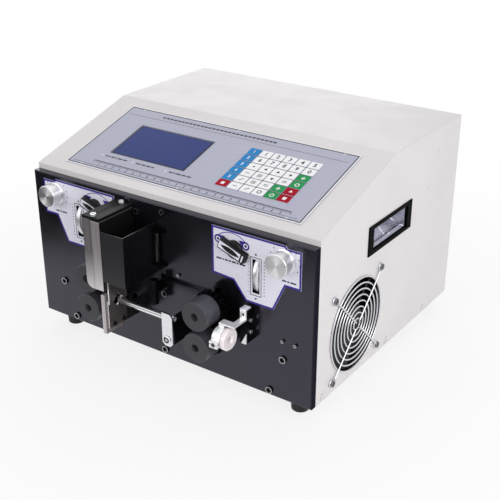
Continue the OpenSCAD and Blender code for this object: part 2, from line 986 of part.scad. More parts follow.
module feed_motors() {
    hole_r = shaft_r + slack;
    color("#3a3a3e")
        both_sides()
            translate([roller_x, motor_y0, lower_z]) {
                difference() {
                    rotate([90, 0, 0])
                        stepper(motor_len);
                    rod_y(hole_r, -eps, 24);
                }
                for (i = [-1, 1], j = [-1, 1])
                    translate([i * motor_bolt / 2, 0, j * motor_bolt / 2])
                        rod_y(pillar_r, plate_t - motor_y0, 0);
            }
}

module shaft_bearings() {
    color("silver")
        both_sides()
            translate([roller_x, 0, lower_z])
                turned_y([
                    [shaft_r + run_fit, -plate_t], [bearing_r - seat_fit, -plate_t],
                    [bearing_r - seat_fit, 0], [bearing_flange_r, 0], [bearing_flange_r, 1.5],
                    [shaft_r + run_fit, 1.5]
                ]);
}

module lift_guides() {
    inner = block_half + slack;
    outer = inner + gib_w;
    lip_y = block_y1 + slack;
    color("#5a5a5e")
        both_sides()
            translate([roller_x, 0, 0]) {
                for (m = [0, 1])
                    mirror([m, 0, 0])
                        translate([0, 0, upper_z - 8])
                            linear_extrude(gib_h)
                                polygon([[inner, plate_t], [outer, plate_t], [outer, lip_y + 3],
                                    [inner - gib_lip, lip_y + 3], [inner - gib_lip, lip_y], [inner, lip_y]]);
                block([-spring_r - 3, spring_r + 3], [plate_t, block_y1], [spring_z1, spring_z1 + seat_t]);
            }
}

module wheel_brackets() {
    color("#5a5a5e")
        both_sides()
            translate([wheel_x, 0, wheel_z])
                for (m = [0, 1])
                    mirror([m, 0, 0])
                        difference() {
                            block([wheel_slot_w / 2 + ear_gap, wheel_slot_w / 2 + ear_gap + ear_t],
                                [plate_t, wheel_y + 8], [-8, 8]);
                            translate([0, wheel_y, 0])
                                rod_x(axle_r + run_fit, 0, wheel_w + 20);
                        }
}

// Outline of a roller gear, with a tooth centred on the +X axis
function gear_points() = [
    for (i = [0 : gear_teeth - 1])
        let (
            pitch = 360 / gear_teeth,
            half = tooth_share * pitch,
            flank = tan(20) * 180 / PI / gear_pitch_r,
            corners = [
                [gear_pitch_r - gear_ded, -half - gear_ded * flank],
                [gear_pitch_r + gear_add, gear_add * flank - half],
                [gear_pitch_r + gear_add, half - gear_add * flank],
                [gear_pitch_r - gear_ded, half + gear_ded * flank]
            ]
        )
        for (c = corners)
            c[0] * [cos(i * pitch + c[1]), sin(i * pitch + c[1])]
];

// A gear with its shaft, along Y about the roller axis
module gear_shaft(phase, rear_y, circlip_y) {
    nose = roller_out1 - counterbore_d - roller_web - seat_fit;
    difference() {
        union() {
            drawn_y(-gear_out1, -gear_out0)
                rotate(phase)
                    polygon(gear_points());
            rod_y(shaft_r, -nose, rear_y);
            if (circlip_y > 0)
                rod_y(circlip_r, circlip_y, circlip_y + circlip_t);
        }
        rod_y(screw_head_r / 2 + seat_fit, -nose - eps, 10 - nose);
    }
}

// A feed roller with its counterbored face and its socket screw
module feed_roller() {
    c = 0.8;
    web0 = roller_out1 - counterbore_d - roller_web;
    web1 = roller_out1 - counterbore_d;
    color("#2b2b2e") {
        turned_y([
            [shaft_r + seat_fit, roller_out0], [roller_r - c, roller_out0], [roller_r, roller_out0 + c],
            [roller_r, roller_out1 - c], [roller_r - c, roller_out1], [counterbore_r, roller_out1],
            [counterbore_r, web1], [screw_head_r / 2 + slack, web1], [screw_head_r / 2 + slack, web0],
            [shaft_r + seat_fit, web0]
        ]);
        difference() {
            turned_y([[0, web0 - 8], [screw_head_r / 2, web0 - 8], [screw_head_r / 2, web1],
                [screw_head_r, web1], [screw_head_r, web1 + 4], [0, web1 + 4]]);
            translate([0, -web1 - 1.5, 0])
                rotate([90, 0, 0])
                    cylinder(h = 4, r = screw_head_r * 0.55, $fn = 6);
        }
    }
}

module lower_roller(right) {
    on_side(right)
        translate([roller_x, 0, lower_z])
            feed_roller();
}

module upper_roller(right) {
    on_side(right)
        translate([roller_x, 0, upper_z])
            feed_roller();
}

module lower_shaft(right) {
    color("#8d8f94")
        on_side(right)
            translate([roller_x, 0, lower_z])
                gear_shaft(90, motor_y0 + 20, 0);
}

module upper_shaft(right) {
    color("#8d8f94")
        on_side(right)
            translate([roller_x, 0, upper_z])
                gear_shaft(90 + 180 / gear_teeth, block_y1 + circlip_t + 1, block_y1 + slack);
}

module lift_block(right) {
    color("#77797e")
        on_side(right)
            difference() {
                union() {
                    block([roller_x - block_half, roller_x + block_half], [block_y0, block_y1],
                        [upper_z - block_below, upper_z + block_above]);
                    block([roller_x - stem_half, roller_x + stem_half], [block_y0, block_y1],
                        [upper_z + block_above - eps, tab_z1]);
                    block([roller_x - stem_half, press_x + tab_over], [block_y0, block_y1],
                        [tab_z1 - tab_t, tab_z1]);
                }
                translate([roller_x, 0, upper_z])
                    rod_y(shaft_r + run_fit, 0, block_y1 + eps);
            }
}

// Points of one round section of the spring's wire at a turn angle
function coil_ring(a, sides) = [
    for (k = [0 : sides - 1])
        let (
            u = 360 * k / sides,
            r = spring_r + spring_wire / 2 * cos(u),
            rise = (spring_z1 - spring_z0 - 2 * slack - spring_wire) * a / 360 / spring_turns
        )
        [r * cos(a), r * sin(a), spring_wire / 2 + slack + rise + spring_wire / 2 * sin(u)]
];

module pressure_spring(right) {
    sides = 6;
    step = 24;
    rings = spring_turns * 360 / step;
    points = [for (i = [0 : rings]) each coil_ring(i * step, sides)];
    walls = [
        for (i = [0 : rings - 1], k = [0 : sides - 1])
            let (n = (k + 1) % sides)
            [i * sides + k, (i + 1) * sides + k, (i + 1) * sides + n, i * sides + n]
    ];
    start = [for (k = [0 : sides - 1]) k];
    end = [for (k = [0 : sides - 1]) rings * sides + sides - 1 - k];
    color("silver")
        on_side(right)
            translate([roller_x, block_mid_y, spring_z0])
                polyhedron(points, concat(walls, [start, end]));
}

// Cam outline with a steady rise: its radius grows by the press stroke over a quarter turn
function cam_radius(a) = a < 90 ? cam_r : a < 180 ? cam_r + press_stroke * (a - 90) / 90
    : a < 210 ? cam_r + press_stroke * (210 - a) / 30 : cam_r;

module press_knob(right) {
    tilt = right ? -12 : 12;
    base = label_t + slack;
    top = press_knob_h;
    half = press_bar_l / 2;
    foot_w = press_bar_w / 2;
    ridge_w = press_bar_w / 3;
    color("#1a1a1c")
        on_side(right)
            translate([press_x, 0, press_z]) {
                turned_y([[0, base], [press_knob_r, base], [press_knob_r, base + 3], [press_knob_r - 2, base + 5],
                    [0, base + 5]]);
                rotate([0, -tilt, 0])
                    intersection() {
                        drawn_x(-half, half)
                            polygon([[-base - 1.5, -foot_w], [-base - 6, -foot_w], [-top, -ridge_w],
                                [-top, ridge_w], [-base - 6, foot_w], [-base - 1.5, foot_w]]);
                        linear_extrude(4 * foot_w, center = true)
                            polygon([[-half, -base - 1.2], [-half, -base - 7], [4 - half, -top - eps],
                                [half - 3, -top - eps], [half, -base - 7], [half, -base - 1.2]]);
                    }
                rod_y(press_shaft_r, -2, cam_y0 + cam_t);
                drawn_y(cam_y0, cam_y0 + cam_t)
                    polygon([for (a = [0 : 6 : 354]) cam_radius(a) * [cos(360 - a), sin(360 - a)]]);
            }
}

module gap_knob(right) {
    r = gap_knob_r;
    base = label_t + slack;
    top = gap_knob_len;
    color("#c8c8cc")
        on_side(right)
            translate([gap_x, 0, gap_z]) {
                turned_y([[0, base], [r + 2, base], [r + 2, base + 2.4], [r - 1, base + 3.4], [r - 2, base + 4],
                    [r - 2, base + 5.5], [r - 0.6, base + 7], [r, top - 1], [r - 1, top], [0, top]]);
                rod_y(gap_shaft_r, -2, plate_t + 8);
                rod_y(gap_shaft_r + 4, plate_t + slack, plate_t + 6);
            }
}

module pressure_wheel(right) {
    w = wheel_w / 2;
    axle = wheel_slot_w / 2 + ear_gap + ear_t + 2;
    color("#d0d0d4")
        on_side(right)
            translate([wheel_x, wheel_y, wheel_z]) {
                turned_x([[0, -w], [wheel_r - 2.5, -w], [wheel_r - 0.8, -w + 1.2], [wheel_r, -w / 3],
                    [wheel_r, w / 3], [wheel_r - 0.8, w - 1.2], [wheel_r - 2.5, w], [0, w]]);
                rod_x(axle_r, -axle, axle);
            }
}

module left_lower_roller() {
    lower_roller(false);
}

module left_lower_shaft() {
    lower_shaft(false);
}

module left_upper_roller() {
    upper_roller(false);
}

module left_upper_shaft() {
    upper_shaft(false);
}

module left_lift_block() {
    lift_block(false);
}

module left_spring() {
    pressure_spring(false);
}

module left_press_knob() {
    press_knob(false);
}

module left_gap_knob() {
    gap_knob(false);
}

module left_pressure_wheel() {
    pressure_wheel(false);
}

module right_lower_roller() {
    lower_roller(true);
}

module right_lower_shaft() {
    lower_shaft(true);
}

module right_upper_roller() {
    upper_roller(true);
}

module right_upper_shaft() {
    upper_shaft(true);
}

module right_lift_block() {
    lift_block(true);
}

module right_spring() {
    pressure_spring(true);
}

module right_press_knob() {
    press_knob(true);
}

module right_gap_knob() {
    gap_knob(true);
}

module right_pressure_wheel() {
    pressure_wheel(true);
}

module cutter_column() {
    z0 = floor_z + tower_z0;
    color("#a39f9d")
        difference() {
            block([tower_x0, column_x1], [-tower_out, 0], [z0, tower_top]);
            translate([-roller_x, 0, upper_z])
                rod_y(gear_pitch_r + gear_add + 1, -roller_out1 - 2, eps);
            drawn_y(-tower_out - eps, eps)
                difference() {
                    translate([tower_x0 - eps, z0 - eps])
                        square(corner_r + eps);
                    translate([tower_x0 + corner_r, z0 + corner_r])
                        circle(r = corner_r);
                }
        }
}

module tower_lid() {
    color("#4a4a4c") {
        block([tower_x0 - lid_over, carrier_x1 + lid_over], [-front_reach, 0], [tower_top, tower_top + lid_t]);
        for (out = [5, tower_out - 5])
            translate([(tower_x0 + carrier_x1) / 2, -out, tower_top + lid_t])
                difference() {
                    cylinder(h = 2.4, r = 3.6);
                    translate([0, 0, 1])
                        cylinder(h = 2, r = 1.8, $fn = 6);
                }
    }
}

module upper_carrier() {
    lower_gap = pocket_clear;
    color("#b3aeac")
        difference() {
            union() {
                block([carrier_x0, carrier_x1], [-tower_out, -slack], [carrier_z0, carrier_top]);
                block([lead_x - 8, lead_x - 8 + tongue_w], [-2, lead_y],
                    [upper_nut_z, upper_nut_z + upper_nut_h]);
                translate([lead_x, lead_y, upper_nut_z])
                    cylinder(h = upper_nut_h, r = nut_r);
            }
            translate([lead_x, lead_y, upper_nut_z - eps])
                cylinder(h = upper_nut_h + 2 * eps, r = screw_r + run_fit);
            block([lower_x0 - lower_gap, lower_x1 + lower_gap], [-lower_out1 - 0.5, -lower_out1 + strip_d + 1],
                [carrier_z0 - eps, strip_top + 2 * blade_travel + eps]);
        }
}

// Blade plate with a V notch and its two screws; the notch opens downwards
module blade(x0, z0, z1) {
    tip = z0 + notch_d;
    mouth = notch_d;
    drawn_x(x0, x0 + blade_t)
        polygon([
            [-wire_out - blade_half, z0], [-wire_out - mouth, z0], [-wire_out, tip], [-wire_out + mouth, z0],
            [-wire_out + blade_half, z0], [-wire_out + blade_half, z1], [-wire_out - blade_half, z1]
        ]);
    for (y = [-8, 8])
        translate([x0 + blade_t, y - wire_out, z1 - blade_screw_in])
            difference() {
                rod_x(blade_screw_r, 0, blade_screw_h);
                rod_x(blade_screw_r * 0.5, 1, blade_screw_h + eps, $fn = 6);
            }
}

module upper_blade() {
    color("#d5d5d8")
        blade(carrier_x1, upper_blade_z0, upper_blade_z1);
}

module lower_carrier() {
    z1 = lower_z0 + lower_body_h;
    color("#8f8a88")
        difference() {
            union() {
                drawn_x(lower_x0, lower_x1)
                    polygon([[-lower_out0, lower_z0], [-lower_out1, lower_z0], [-lower_out1, strip_top],
                        [strip_d - lower_out1, strip_top], [strip_d - lower_out1, z1], [-lower_out0, z1]]);
                block([lower_x0, lower_x1], [-lower_out0 - eps, 0], [lower_nut_z, lower_nut_z + lower_nut_h]);
                block([lower_x0, lower_x0 + tongue_w], [blade_half + slack - wire_out, lead_y],
                    [lower_nut_z, lower_nut_z + lower_nut_h]);
                translate([lead_x, lead_y, lower_nut_z])
                    cylinder(h = lower_nut_h, r = nut_r);
            }
            translate([lead_x, lead_y, lower_nut_z - eps])
                cylinder(h = lower_nut_h + 2 * eps, r = screw_r + run_fit);
        }
}

module lower_blade() {
    color("#d5d5d8")
        translate([0, 0, lower_blade_z0 + lower_blade_z1])
            mirror([0, 0, 1])
                blade(lower_x1, lower_blade_z0, lower_blade_z1);
}

module lead_screw() {
    color("#c4c4c8")
        translate([lead_x, lead_y, lead_z0]) {
            cylinder(h = lead_z1 - lead_z0, r = screw_r);
            translate([0, 0, bearing_block_h + slack + 2])
                cylinder(h = 4, r = screw_r + 3);
        }
}

module cutter_motor() {
    color("#3a3a3e")
        difference() {
            translate([lead_x, lead_y, bracket_z + bracket_t])
                mirror([0, 0, 1])
                    stepper(cutter_motor_len);
            translate([lead_x, lead_y, bracket_z])
                cylinder(h = lead_z1 - bracket_z + 1, r = screw_r + slack);
        }
}

module cutter_bracket() {
    half = motor_side / 2;
    color("#5a5a5e")
        difference() {
            union() {
                block([lead_x - half, lead_x + half], [plate_t, lead_y + half], [bracket_z, bracket_z + bracket_t]);
                block([lead_x - nut_r, lead_x + nut_r], [plate_t, lead_y + nut_r],
                    [lead_z0 + 2, lead_z0 + 2 + bearing_block_h]);
            }
            translate([lead_x, lead_y, lead_z0])
                cylinder(h = bearing_block_h + 4, r = screw_r + run_fit);
            translate([lead_x, lead_y, bracket_z - eps])
                cylinder(h = bracket_t + 2 * eps, r = screw_r + 3);
        }
}

module cutter_cover() {
    z1 = cover_z0 + cover_h;
    color("#232327")
        difference() {
            union() {
                block([cover_x0, cover_x1], [-cover_out, cover_t - cover_out], [cover_z0, z1]);
                block([cover_x1 - cover_t, cover_x1], [-cover_out, -1], [cover_z0, z1]);
                block([cover_x1 - cover_t, hinge_x], [-hinge_out - 0.75, 0.75 - hinge_out],
                    [knuckle_z0, knuckle_z0 + knuckle_h]);
                translate([hinge_x, -hinge_out, knuckle_z0])
                    cylinder(h = knuckle_h, r = knuckle_r);
            }
            translate([hinge_x, -hinge_out, knuckle_z0 - eps])
                cylinder(h = knuckle_h + 2 * eps, r = hinge_pin_r + run_fit);
        }
}

module cover_hinge() {
    ear = 5;
    color("silver")
        for (z = [knuckle_z0 - ear - slack, knuckle_z0 + knuckle_h + slack])
            translate([hinge_x, 0, z]) {
                translate([0, -hinge_out, 0])
                    cylinder(h = ear, r = knuckle_r);
                block([-knuckle_r, knuckle_r + 8], [-1.5, 0], [0, ear]);
                block([-1, knuckle_r], [-hinge_out, 0], [0, ear]);
                translate([0, -hinge_out, z < knuckle_z0 ? 0 : -knuckle_h / 2 + 1])
                    cylinder(h = knuckle_h / 2 + ear - 1, r = hinge_pin_r);
            }
}

// Tube and strip brazed into one arm that swings on the strip's lower screw
module guide_tube() {
    cut = 4;
    y0 = -strip_out0 - strip_t;
    color("#dcdce0")
        difference() {
            union() {
                translate([0, -wire_out, tube_z])
                    rod_x(tube_r, tube_x0, tube_x1);
                drawn_y(y0, -strip_out0)
                    polygon([[strip_x0, strip_z0 + cut], [strip_x0 + cut, strip_z0], [strip_x1 - cut, strip_z0],
                        [strip_x1, strip_z0 + cut], [strip_x1, strip_z1 - cut], [strip_x1 - cut, strip_z1],
                        [strip_x0, strip_z1]]);
            }
            translate([0, -wire_out, tube_z])
                rod_x(tube_bore_r, tube_x0 - eps, tube_x1 + eps);
            translate([pivot_x, 0, pivot_z])
                rod_y(pivot_r + run_fit, y0 - eps, eps - strip_out0);
        }
}

module guide_block() {
    x0 = strip_x0 + 1;
    x1 = strip_x1 - 1;
    head = strip_out0 + strip_t + slack;
    color("#242428") {
        block([x0, x1], [-guide_block_out, 0], [strip_z0 + 2, guide_block_top]);
        translate([pivot_x, 0, pivot_z]) {
            rod_y(pivot_r, -head, eps - guide_block_out);
            turned_y([[0, head], [pivot_r + 2, head], [pivot_r + 2, head + 1.4], [pivot_r + 1, head + 2], [0, head + 2]]);
        }
    }
}

module guide_post() {
    color("#202024") {
        translate([post_x, -post_out, post_z0])
            cylinder(h = post_z1 - post_z0, r = post_r);
        block([post_x - 3, post_x + 3], [-post_out, 0], [post_z0 + 14, post_z0 + 24]);
    }
}

module inlet_bracket() {
    color("#26262a") {
        block([inlet_x0, inlet_x1], [-inlet_out, 0], [inlet_z0, inlet_z1]);
        for (z = [inlet_z0 + 12.5, inlet_z0 + 27])
            translate([inlet_x1, 0.5 - inlet_out / 2, z])
                rod_x(2.4, -0.5, 1.5);
    }
}

// Steel strip bent over the bracket's top, with a finger that holds the collar and a gusset below
module inlet_arm() {
    y1 = -inlet_out;
    x0 = inlet_x1 - arm_w;
    reach_y = -wire_out - 0.5;
    tab_y = reach_y + 9.5;
    drop_z = tube_z + collar_r;
    color("#d0cecd") {
        difference() {
            union() {
                drawn_x(x0, inlet_x1)
                    polygon([
                        [y1 + arm_back, inlet_z1], [y1 + arm_back, inlet_z1 + arm_t], [y1 - arm_t, inlet_z1 + arm_t],
                        [y1 - arm_t, arm_reach_z + arm_t], [reach_y, arm_reach_z + arm_t], [reach_y, arm_reach_z],
                        [y1, arm_reach_z], [y1, inlet_z1]
                    ]);
                block([collar_x0 + 2, x0 + eps], [reach_y, tab_y], [arm_reach_z, arm_reach_z + arm_t]);
                block([collar_x0 + 2, collar_x1 - 2], [reach_y, tab_y], [drop_z, arm_reach_z + arm_t / 2]);
            }
            translate([inlet_x1 - arm_w / 2, 0, inlet_z1 - 5])
                rod_y(1.8, y1 - arm_t - eps, y1 + eps);
        }
        drawn_y(y1 - arm_t, y1)
            polygon([[inlet_x1, inlet_z0], [inlet_x1, inlet_z0 + 13], [inlet_x1 - 6.5, inlet_z0]]);
    }
}

module inlet_collar() {
    ear = 7;
    color("#d8d4d2")
        difference() {
            union() {
                translate([0, -wire_out, tube_z])
                    rod_x(collar_r, collar_x0, collar_x1);
                block([collar_x0, collar_x1], [-wire_out - collar_r - ear + 3, -wire_out],
                    [tube_z - 7, tube_z + 1]);
            }
            translate([0, -wire_out, tube_z])
                rod_x(eyelet_tube_r + seat_fit, collar_x0 - eps, collar_x1 + eps);
            block([collar_x0 - eps, collar_x1 + eps], [-wire_out - collar_r - ear, -wire_out],
                [tube_z - 3, tube_z - 2]);
        }
}

module inlet_eyelet() {
    color("#efe6e6")
        translate([0, -wire_out, tube_z])
            turned_x([
                [eyelet_bore_r, eyelet_x0], [eyelet_tube_r, eyelet_x0], [eyelet_tube_r, eyelet_x1 - eyelet_flange],
                [eyelet_r, eyelet_x1 - eyelet_flange], [eyelet_r, eyelet_x1 - 1], [eyelet_r - 1, eyelet_x1],
                [eyelet_bore_r + 2, eyelet_x1], [eyelet_bore_r, eyelet_x1 - 2]
            ]);
}

// Moves the machine so that the origin lies under the middle of its box
module placed() {
    translate([-origin_x, -origin_y, 0])
        children();
}

placed() base_tray();
placed() case_cover();
placed() back_panel();
placed() front_plate();
placed() dial_labels();
placed() control_overlay();
placed() display_window();
placed() display_module();
placed() fan_frame();
placed() fan_rotor();
placed() fan_guard();
placed() case_screws();
placed() plate_screws();
placed() handle_left();
placed() handle_right();
placed() feet();
placed() power_inlet();
placed() power_rocker();
placed() power_supply();
placed() control_board();
placed() feed_motors();
placed() shaft_bearings();
placed() lift_guides();
placed() wheel_brackets();
placed() left_lower_roller();
placed() left_lower_shaft();
placed() left_upper_roller();
placed() left_upper_shaft();
placed() left_lift_block();
placed() left_spring();
placed() left_press_knob();
placed() left_gap_knob();
placed() left_pressure_wheel();
placed() right_lower_roller();
placed() right_lower_shaft();
placed() right_upper_roller();
placed() right_upper_shaft();
placed() right_lift_block();
placed() right_spring();
placed() right_press_knob();
placed() right_gap_knob();
placed() right_pressure_wheel();
placed() cutter_column();
placed() tower_lid();
placed() upper_carrier();
placed() upper_blade();
placed() lower_carrier();
placed() lower_blade();
placed() lead_screw();
placed() cutter_motor();
placed() cutter_bracket();
placed() cutter_cover();
placed() cover_hinge();
placed() guide_tube();
placed() guide_block();
placed() guide_post();
placed() inlet_bracket();
placed() inlet_arm();
placed() inlet_collar();
placed() inlet_eyelet();
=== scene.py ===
"""Studio scene of a bench-top wire cutting and stripping machine."""

import math

import bmesh
import bpy
from mathutils import Matrix, Vector


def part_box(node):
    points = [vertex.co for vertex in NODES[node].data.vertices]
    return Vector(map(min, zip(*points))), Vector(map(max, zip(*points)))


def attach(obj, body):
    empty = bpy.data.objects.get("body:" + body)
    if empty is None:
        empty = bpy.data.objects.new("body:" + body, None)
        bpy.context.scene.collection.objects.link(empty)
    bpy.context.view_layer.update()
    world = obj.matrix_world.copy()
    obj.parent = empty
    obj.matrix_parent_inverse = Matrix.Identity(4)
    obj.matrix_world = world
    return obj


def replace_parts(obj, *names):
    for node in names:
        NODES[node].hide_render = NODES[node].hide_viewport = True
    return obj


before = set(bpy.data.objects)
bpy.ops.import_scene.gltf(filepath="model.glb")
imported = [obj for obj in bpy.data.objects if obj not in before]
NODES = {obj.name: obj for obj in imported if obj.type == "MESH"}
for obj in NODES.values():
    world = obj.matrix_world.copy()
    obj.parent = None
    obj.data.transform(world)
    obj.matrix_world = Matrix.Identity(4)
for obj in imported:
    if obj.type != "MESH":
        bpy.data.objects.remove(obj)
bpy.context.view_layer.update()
MM = 0.001

# The machine's planes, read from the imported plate
PLATE_LO, PLATE_HI = (Vector(v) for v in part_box("front_plate"))
MID_X = (PLATE_LO.x + PLATE_HI.x) / 2
FACE_Y = PLATE_LO.y
FLOOR_Z = PLATE_LO.z
PLATE_T = (PLATE_HI.y - PLATE_LO.y) / MM
PLATE_H = (PLATE_HI.z - PLATE_LO.z) / MM
LIP_H = 7.0
CASE_H = 251.0
SLOPE_RUN = 162.0
SLOPE = math.atan2(CASE_H - PLATE_H - LIP_H, SLOPE_RUN)


def at(x, out, h):
    """A point in the row frame from millimetres: across, in front of the plate, above the case floor."""
    return Vector((MID_X + x * MM, FACE_Y - out * MM, FLOOR_Z + h * MM))


class Plane:
    """A flat face to print on: u and v in millimetres, lift off the face in millimetres."""

    def __init__(self, origin, u, v):
        self.origin = Vector(origin)
        self.u = Vector(u).normalized()
        self.v = Vector(v).normalized()
        self.n = self.u.cross(self.v)

    def point(self, u, v, lift=0.0):
        return self.origin + (self.u * u + self.v * v + self.n * lift) * MM


PLATE = Plane(at(0, 0, 0), (1, 0, 0), (0, 0, 1))
PANEL = Plane(
    at(0, -PLATE_T, PLATE_H + LIP_H), (1, 0, 0), (0, math.cos(SLOPE), math.sin(SLOPE))
)

# The two dial labels mirror each other; the axes are the right one's, across and up
SIDES = (("right", 1), ("left", -1))
PRESS = (103.0, 170.0)
GAP = (167.5, 174.0)
WHEEL = (130.8, 144.5)


def edge_of(node, letter, high, inset_mm):
    """A limit a little inside one end of a node's box, in metres."""
    corner = Vector(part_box(node)[1 if high else 0])
    way = 1 if high else -1
    return getattr(corner, letter.lower()) - inset_mm * MM * way


# Materials
def linear(hex_colour):
    """An sRGB hex colour as linear RGBA."""
    value = hex_colour.lstrip("#")
    rgb = [int(value[i : i + 2], 16) / 255 for i in (0, 2, 4)]
    return tuple(
        c / 12.92 if c <= 0.04045 else ((c + 0.055) / 1.055) ** 2.4 for c in rgb
    ) + (1.0,)


class Shader:
    """A Principled material with its nodes wired one by one."""

    FACE_FROM, FACE_FULL = 0.55, 0.85
    SOCKETS = {
        "coat": "Coat Weight",
        "coat_rough": "Coat Roughness",
        "specular": "Specular IOR Level",
        "anisotropic": "Anisotropic",
        "grain_turn": "Anisotropic Rotation",
    }

    def __init__(self, name, colour, rough, metal=0.0, edge=0.0):
        self.mat = bpy.data.materials.new(name)
        self.mat.use_nodes = True
        self.tree = self.mat.node_tree
        self.bsdf = self.tree.nodes["Principled BSDF"]
        self.base = linear(colour)
        self.bsdf.inputs["Base Color"].default_value = self.base
        self.bsdf.inputs["Roughness"].default_value = rough
        self.bsdf.inputs["Metallic"].default_value = metal
        self.mat.diffuse_color = self.base
        self.coords = None
        self.normal = None
        self.colour = None
        if edge:
            bevel = self.node("ShaderNodeBevel", samples=4)
            bevel.inputs["Radius"].default_value = edge * MM
            self.normal = bevel.outputs["Normal"]
            self.link(self.normal, self.bsdf.inputs["Normal"])

    def node(self, kind, **values):
        made = self.tree.nodes.new(kind)
        for key, value in values.items():
            setattr(made, key, value)
        return made

    def link(self, a, b):
        self.tree.links.new(a, b)

    def place(self):
        """Object coordinates, which are the row frame's metres."""
        if self.coords is None:
            self.coords = self.node("ShaderNodeTexCoord").outputs["Object"]
        return self.coords

    def axis(self, letter):
        """One object coordinate."""
        split = self.node("ShaderNodeSeparateXYZ")
        self.link(self.place(), split.inputs["Vector"])
        return split.outputs[letter]

    def math(self, operation, *terms):
        """A math node on sockets and numbers."""
        made = self.node("ShaderNodeMath", operation=operation)
        for socket, term in zip(made.inputs, terms):
            if isinstance(term, (int, float)):
                socket.default_value = term
            else:
                self.link(term, socket)
        return made.outputs["Value"]

    def noise(self, scale, detail=4.0, stretch=(1, 1, 1), rough=0.55):
        mapping = self.node("ShaderNodeMapping")
        mapping.inputs["Scale"].default_value = stretch
        self.link(self.place(), mapping.inputs["Vector"])
        made = self.node("ShaderNodeTexNoise")
        made.inputs["Scale"].default_value = scale
        made.inputs["Detail"].default_value = detail
        made.inputs["Roughness"].default_value = rough
        self.link(mapping.outputs["Vector"], made.inputs["Vector"])
        return made.outputs["Fac"]

    def ramp(self, fac, low, high, start=0.3, end=0.7):
        """Maps a factor to a range of numbers."""
        made = self.node("ShaderNodeMapRange")
        made.inputs["From Min"].default_value = start
        made.inputs["From Max"].default_value = end
        made.inputs["To Min"].default_value = low
        made.inputs["To Max"].default_value = high
        self.link(fac, made.inputs["Value"])
        return made.outputs["Result"]

    def mix(self, fac, a, b):
        """A colour between two, each a socket or a linear colour; it becomes the base colour."""
        made = self.node("ShaderNodeMix", data_type="RGBA")
        for key, value in (("A", a), ("B", b)):
            if isinstance(value, (tuple, list)):
                made.inputs[key].default_value = value
            else:
                self.link(value, made.inputs[key])
        self.link(fac, made.inputs["Factor"])
        self.colour = made.outputs["Result"]
        self.link(self.colour, self.bsdf.inputs["Base Color"])

    def tint(self, fac, dark, light):
        """Colour that runs between two shades of the base colour."""
        low = [c * dark for c in self.base[:3]] + [1]
        high = [min(1.0, c * light) for c in self.base[:3]] + [1]
        self.mix(fac, low, high)

    def facing(self, letter, way):
        """Mask that is 1 on faces that look along an axis, way 1 or -1."""
        split = self.node("ShaderNodeSeparateXYZ")
        self.link(self.node("ShaderNodeTexCoord").outputs["Normal"], split.inputs["Vector"])
        return self.ramp(split.outputs[letter], 0, 1, way * self.FACE_FROM, way * self.FACE_FULL)

    def other(self, mask, colour, rough, metal):
        """A second finish where the mask is 1."""
        self.mix(mask, self.colour, linear(colour))
        for key, value in (("Roughness", rough), ("Metallic", metal)):
            socket = self.bsdf.inputs[key]
            made = self.node("ShaderNodeMix", data_type="FLOAT")
            if socket.is_linked:
                self.link(socket.links[0].from_socket, made.inputs["A"])
            else:
                made.inputs["A"].default_value = socket.default_value
            made.inputs["B"].default_value = value
            self.link(mask, made.inputs["Factor"])
            self.link(made.outputs["Result"], socket)

    def rough(self, fac, low, high):
        self.link(self.ramp(fac, low, high), self.bsdf.inputs["Roughness"])

    def bump(self, fac, strength, distance=0.0002):
        made = self.node("ShaderNodeBump")
        made.inputs["Strength"].default_value = strength
        made.inputs["Distance"].default_value = distance
        self.link(fac, made.inputs["Height"])
        if self.normal is not None:
            self.link(self.normal, made.inputs["Normal"])
        self.normal = made.outputs["Normal"]
        self.link(self.normal, self.bsdf.inputs["Normal"])

    def put(self, **sockets):
        for key, value in sockets.items():
            self.bsdf.inputs[self.SOCKETS[key]].default_value = value
        return self


def paint(name, colour, rough=0.42, peel=0.25, peel_scale=900, vary=0.04, edge=0.0, specular=0.5):
    """Powder coat: a fine orange peel and a slow drift of colour and gloss."""
    s = Shader(name, colour, rough, edge=edge)
    s.tint(s.ramp(s.noise(9.0, 3.0), 0, 1), 1 - vary, 1 + vary * 0.5)
    s.rough(s.noise(30.0, 4.0), rough - 0.05, rough + 0.06)
    s.bump(s.noise(peel_scale, 2.0), peel, 0.00008)
    return s.put(specular=specular)


def plastic(name, colour, rough=0.45, grain=0.2, grain_scale=2600, coat=0.0, vary=0.06):
    """Moulded plastic: fine texture, faint handling marks."""
    s = Shader(name, colour, rough)
    s.tint(s.ramp(s.noise(60.0, 4.0), 0, 1), 1 - vary, 1 + vary)
    s.rough(s.noise(140.0, 5.0), rough - 0.06, rough + 0.08)
    s.bump(s.noise(grain_scale, 2.0), grain, 0.00005)
    return s.put(coat=coat, coat_rough=0.12)


def metal(
    name, colour, rough=0.3, brush=(1, 1, 40), brush_scale=400, strength=0.15, vary=0.12, shine=1.0
):
    """Ground or turned metal: fine lines along one direction, drifting brightness."""
    s = Shader(name, colour, rough, shine)
    lines = s.noise(brush_scale, 6.0, brush, 0.7)
    s.tint(s.ramp(lines, 0, 1), 1 - vary, 1 + vary * 0.6)
    s.rough(s.noise(90.0, 4.0, brush), max(0.04, rough - 0.08), rough + 0.1)
    s.bump(lines, strength, 0.00004)
    return s


def rubber(name, colour, rough=0.6):
    """Ground rubber: matte with a fine pitted skin."""
    s = Shader(name, colour, rough)
    s.tint(s.ramp(s.noise(80.0, 5.0), 0, 1), 0.86, 1.14)
    s.rough(s.noise(300.0, 4.0), rough - 0.08, rough + 0.1)
    s.bump(s.noise(3000.0, 3.0), 0.25, 0.00006)
    return s.put(specular=0.4)


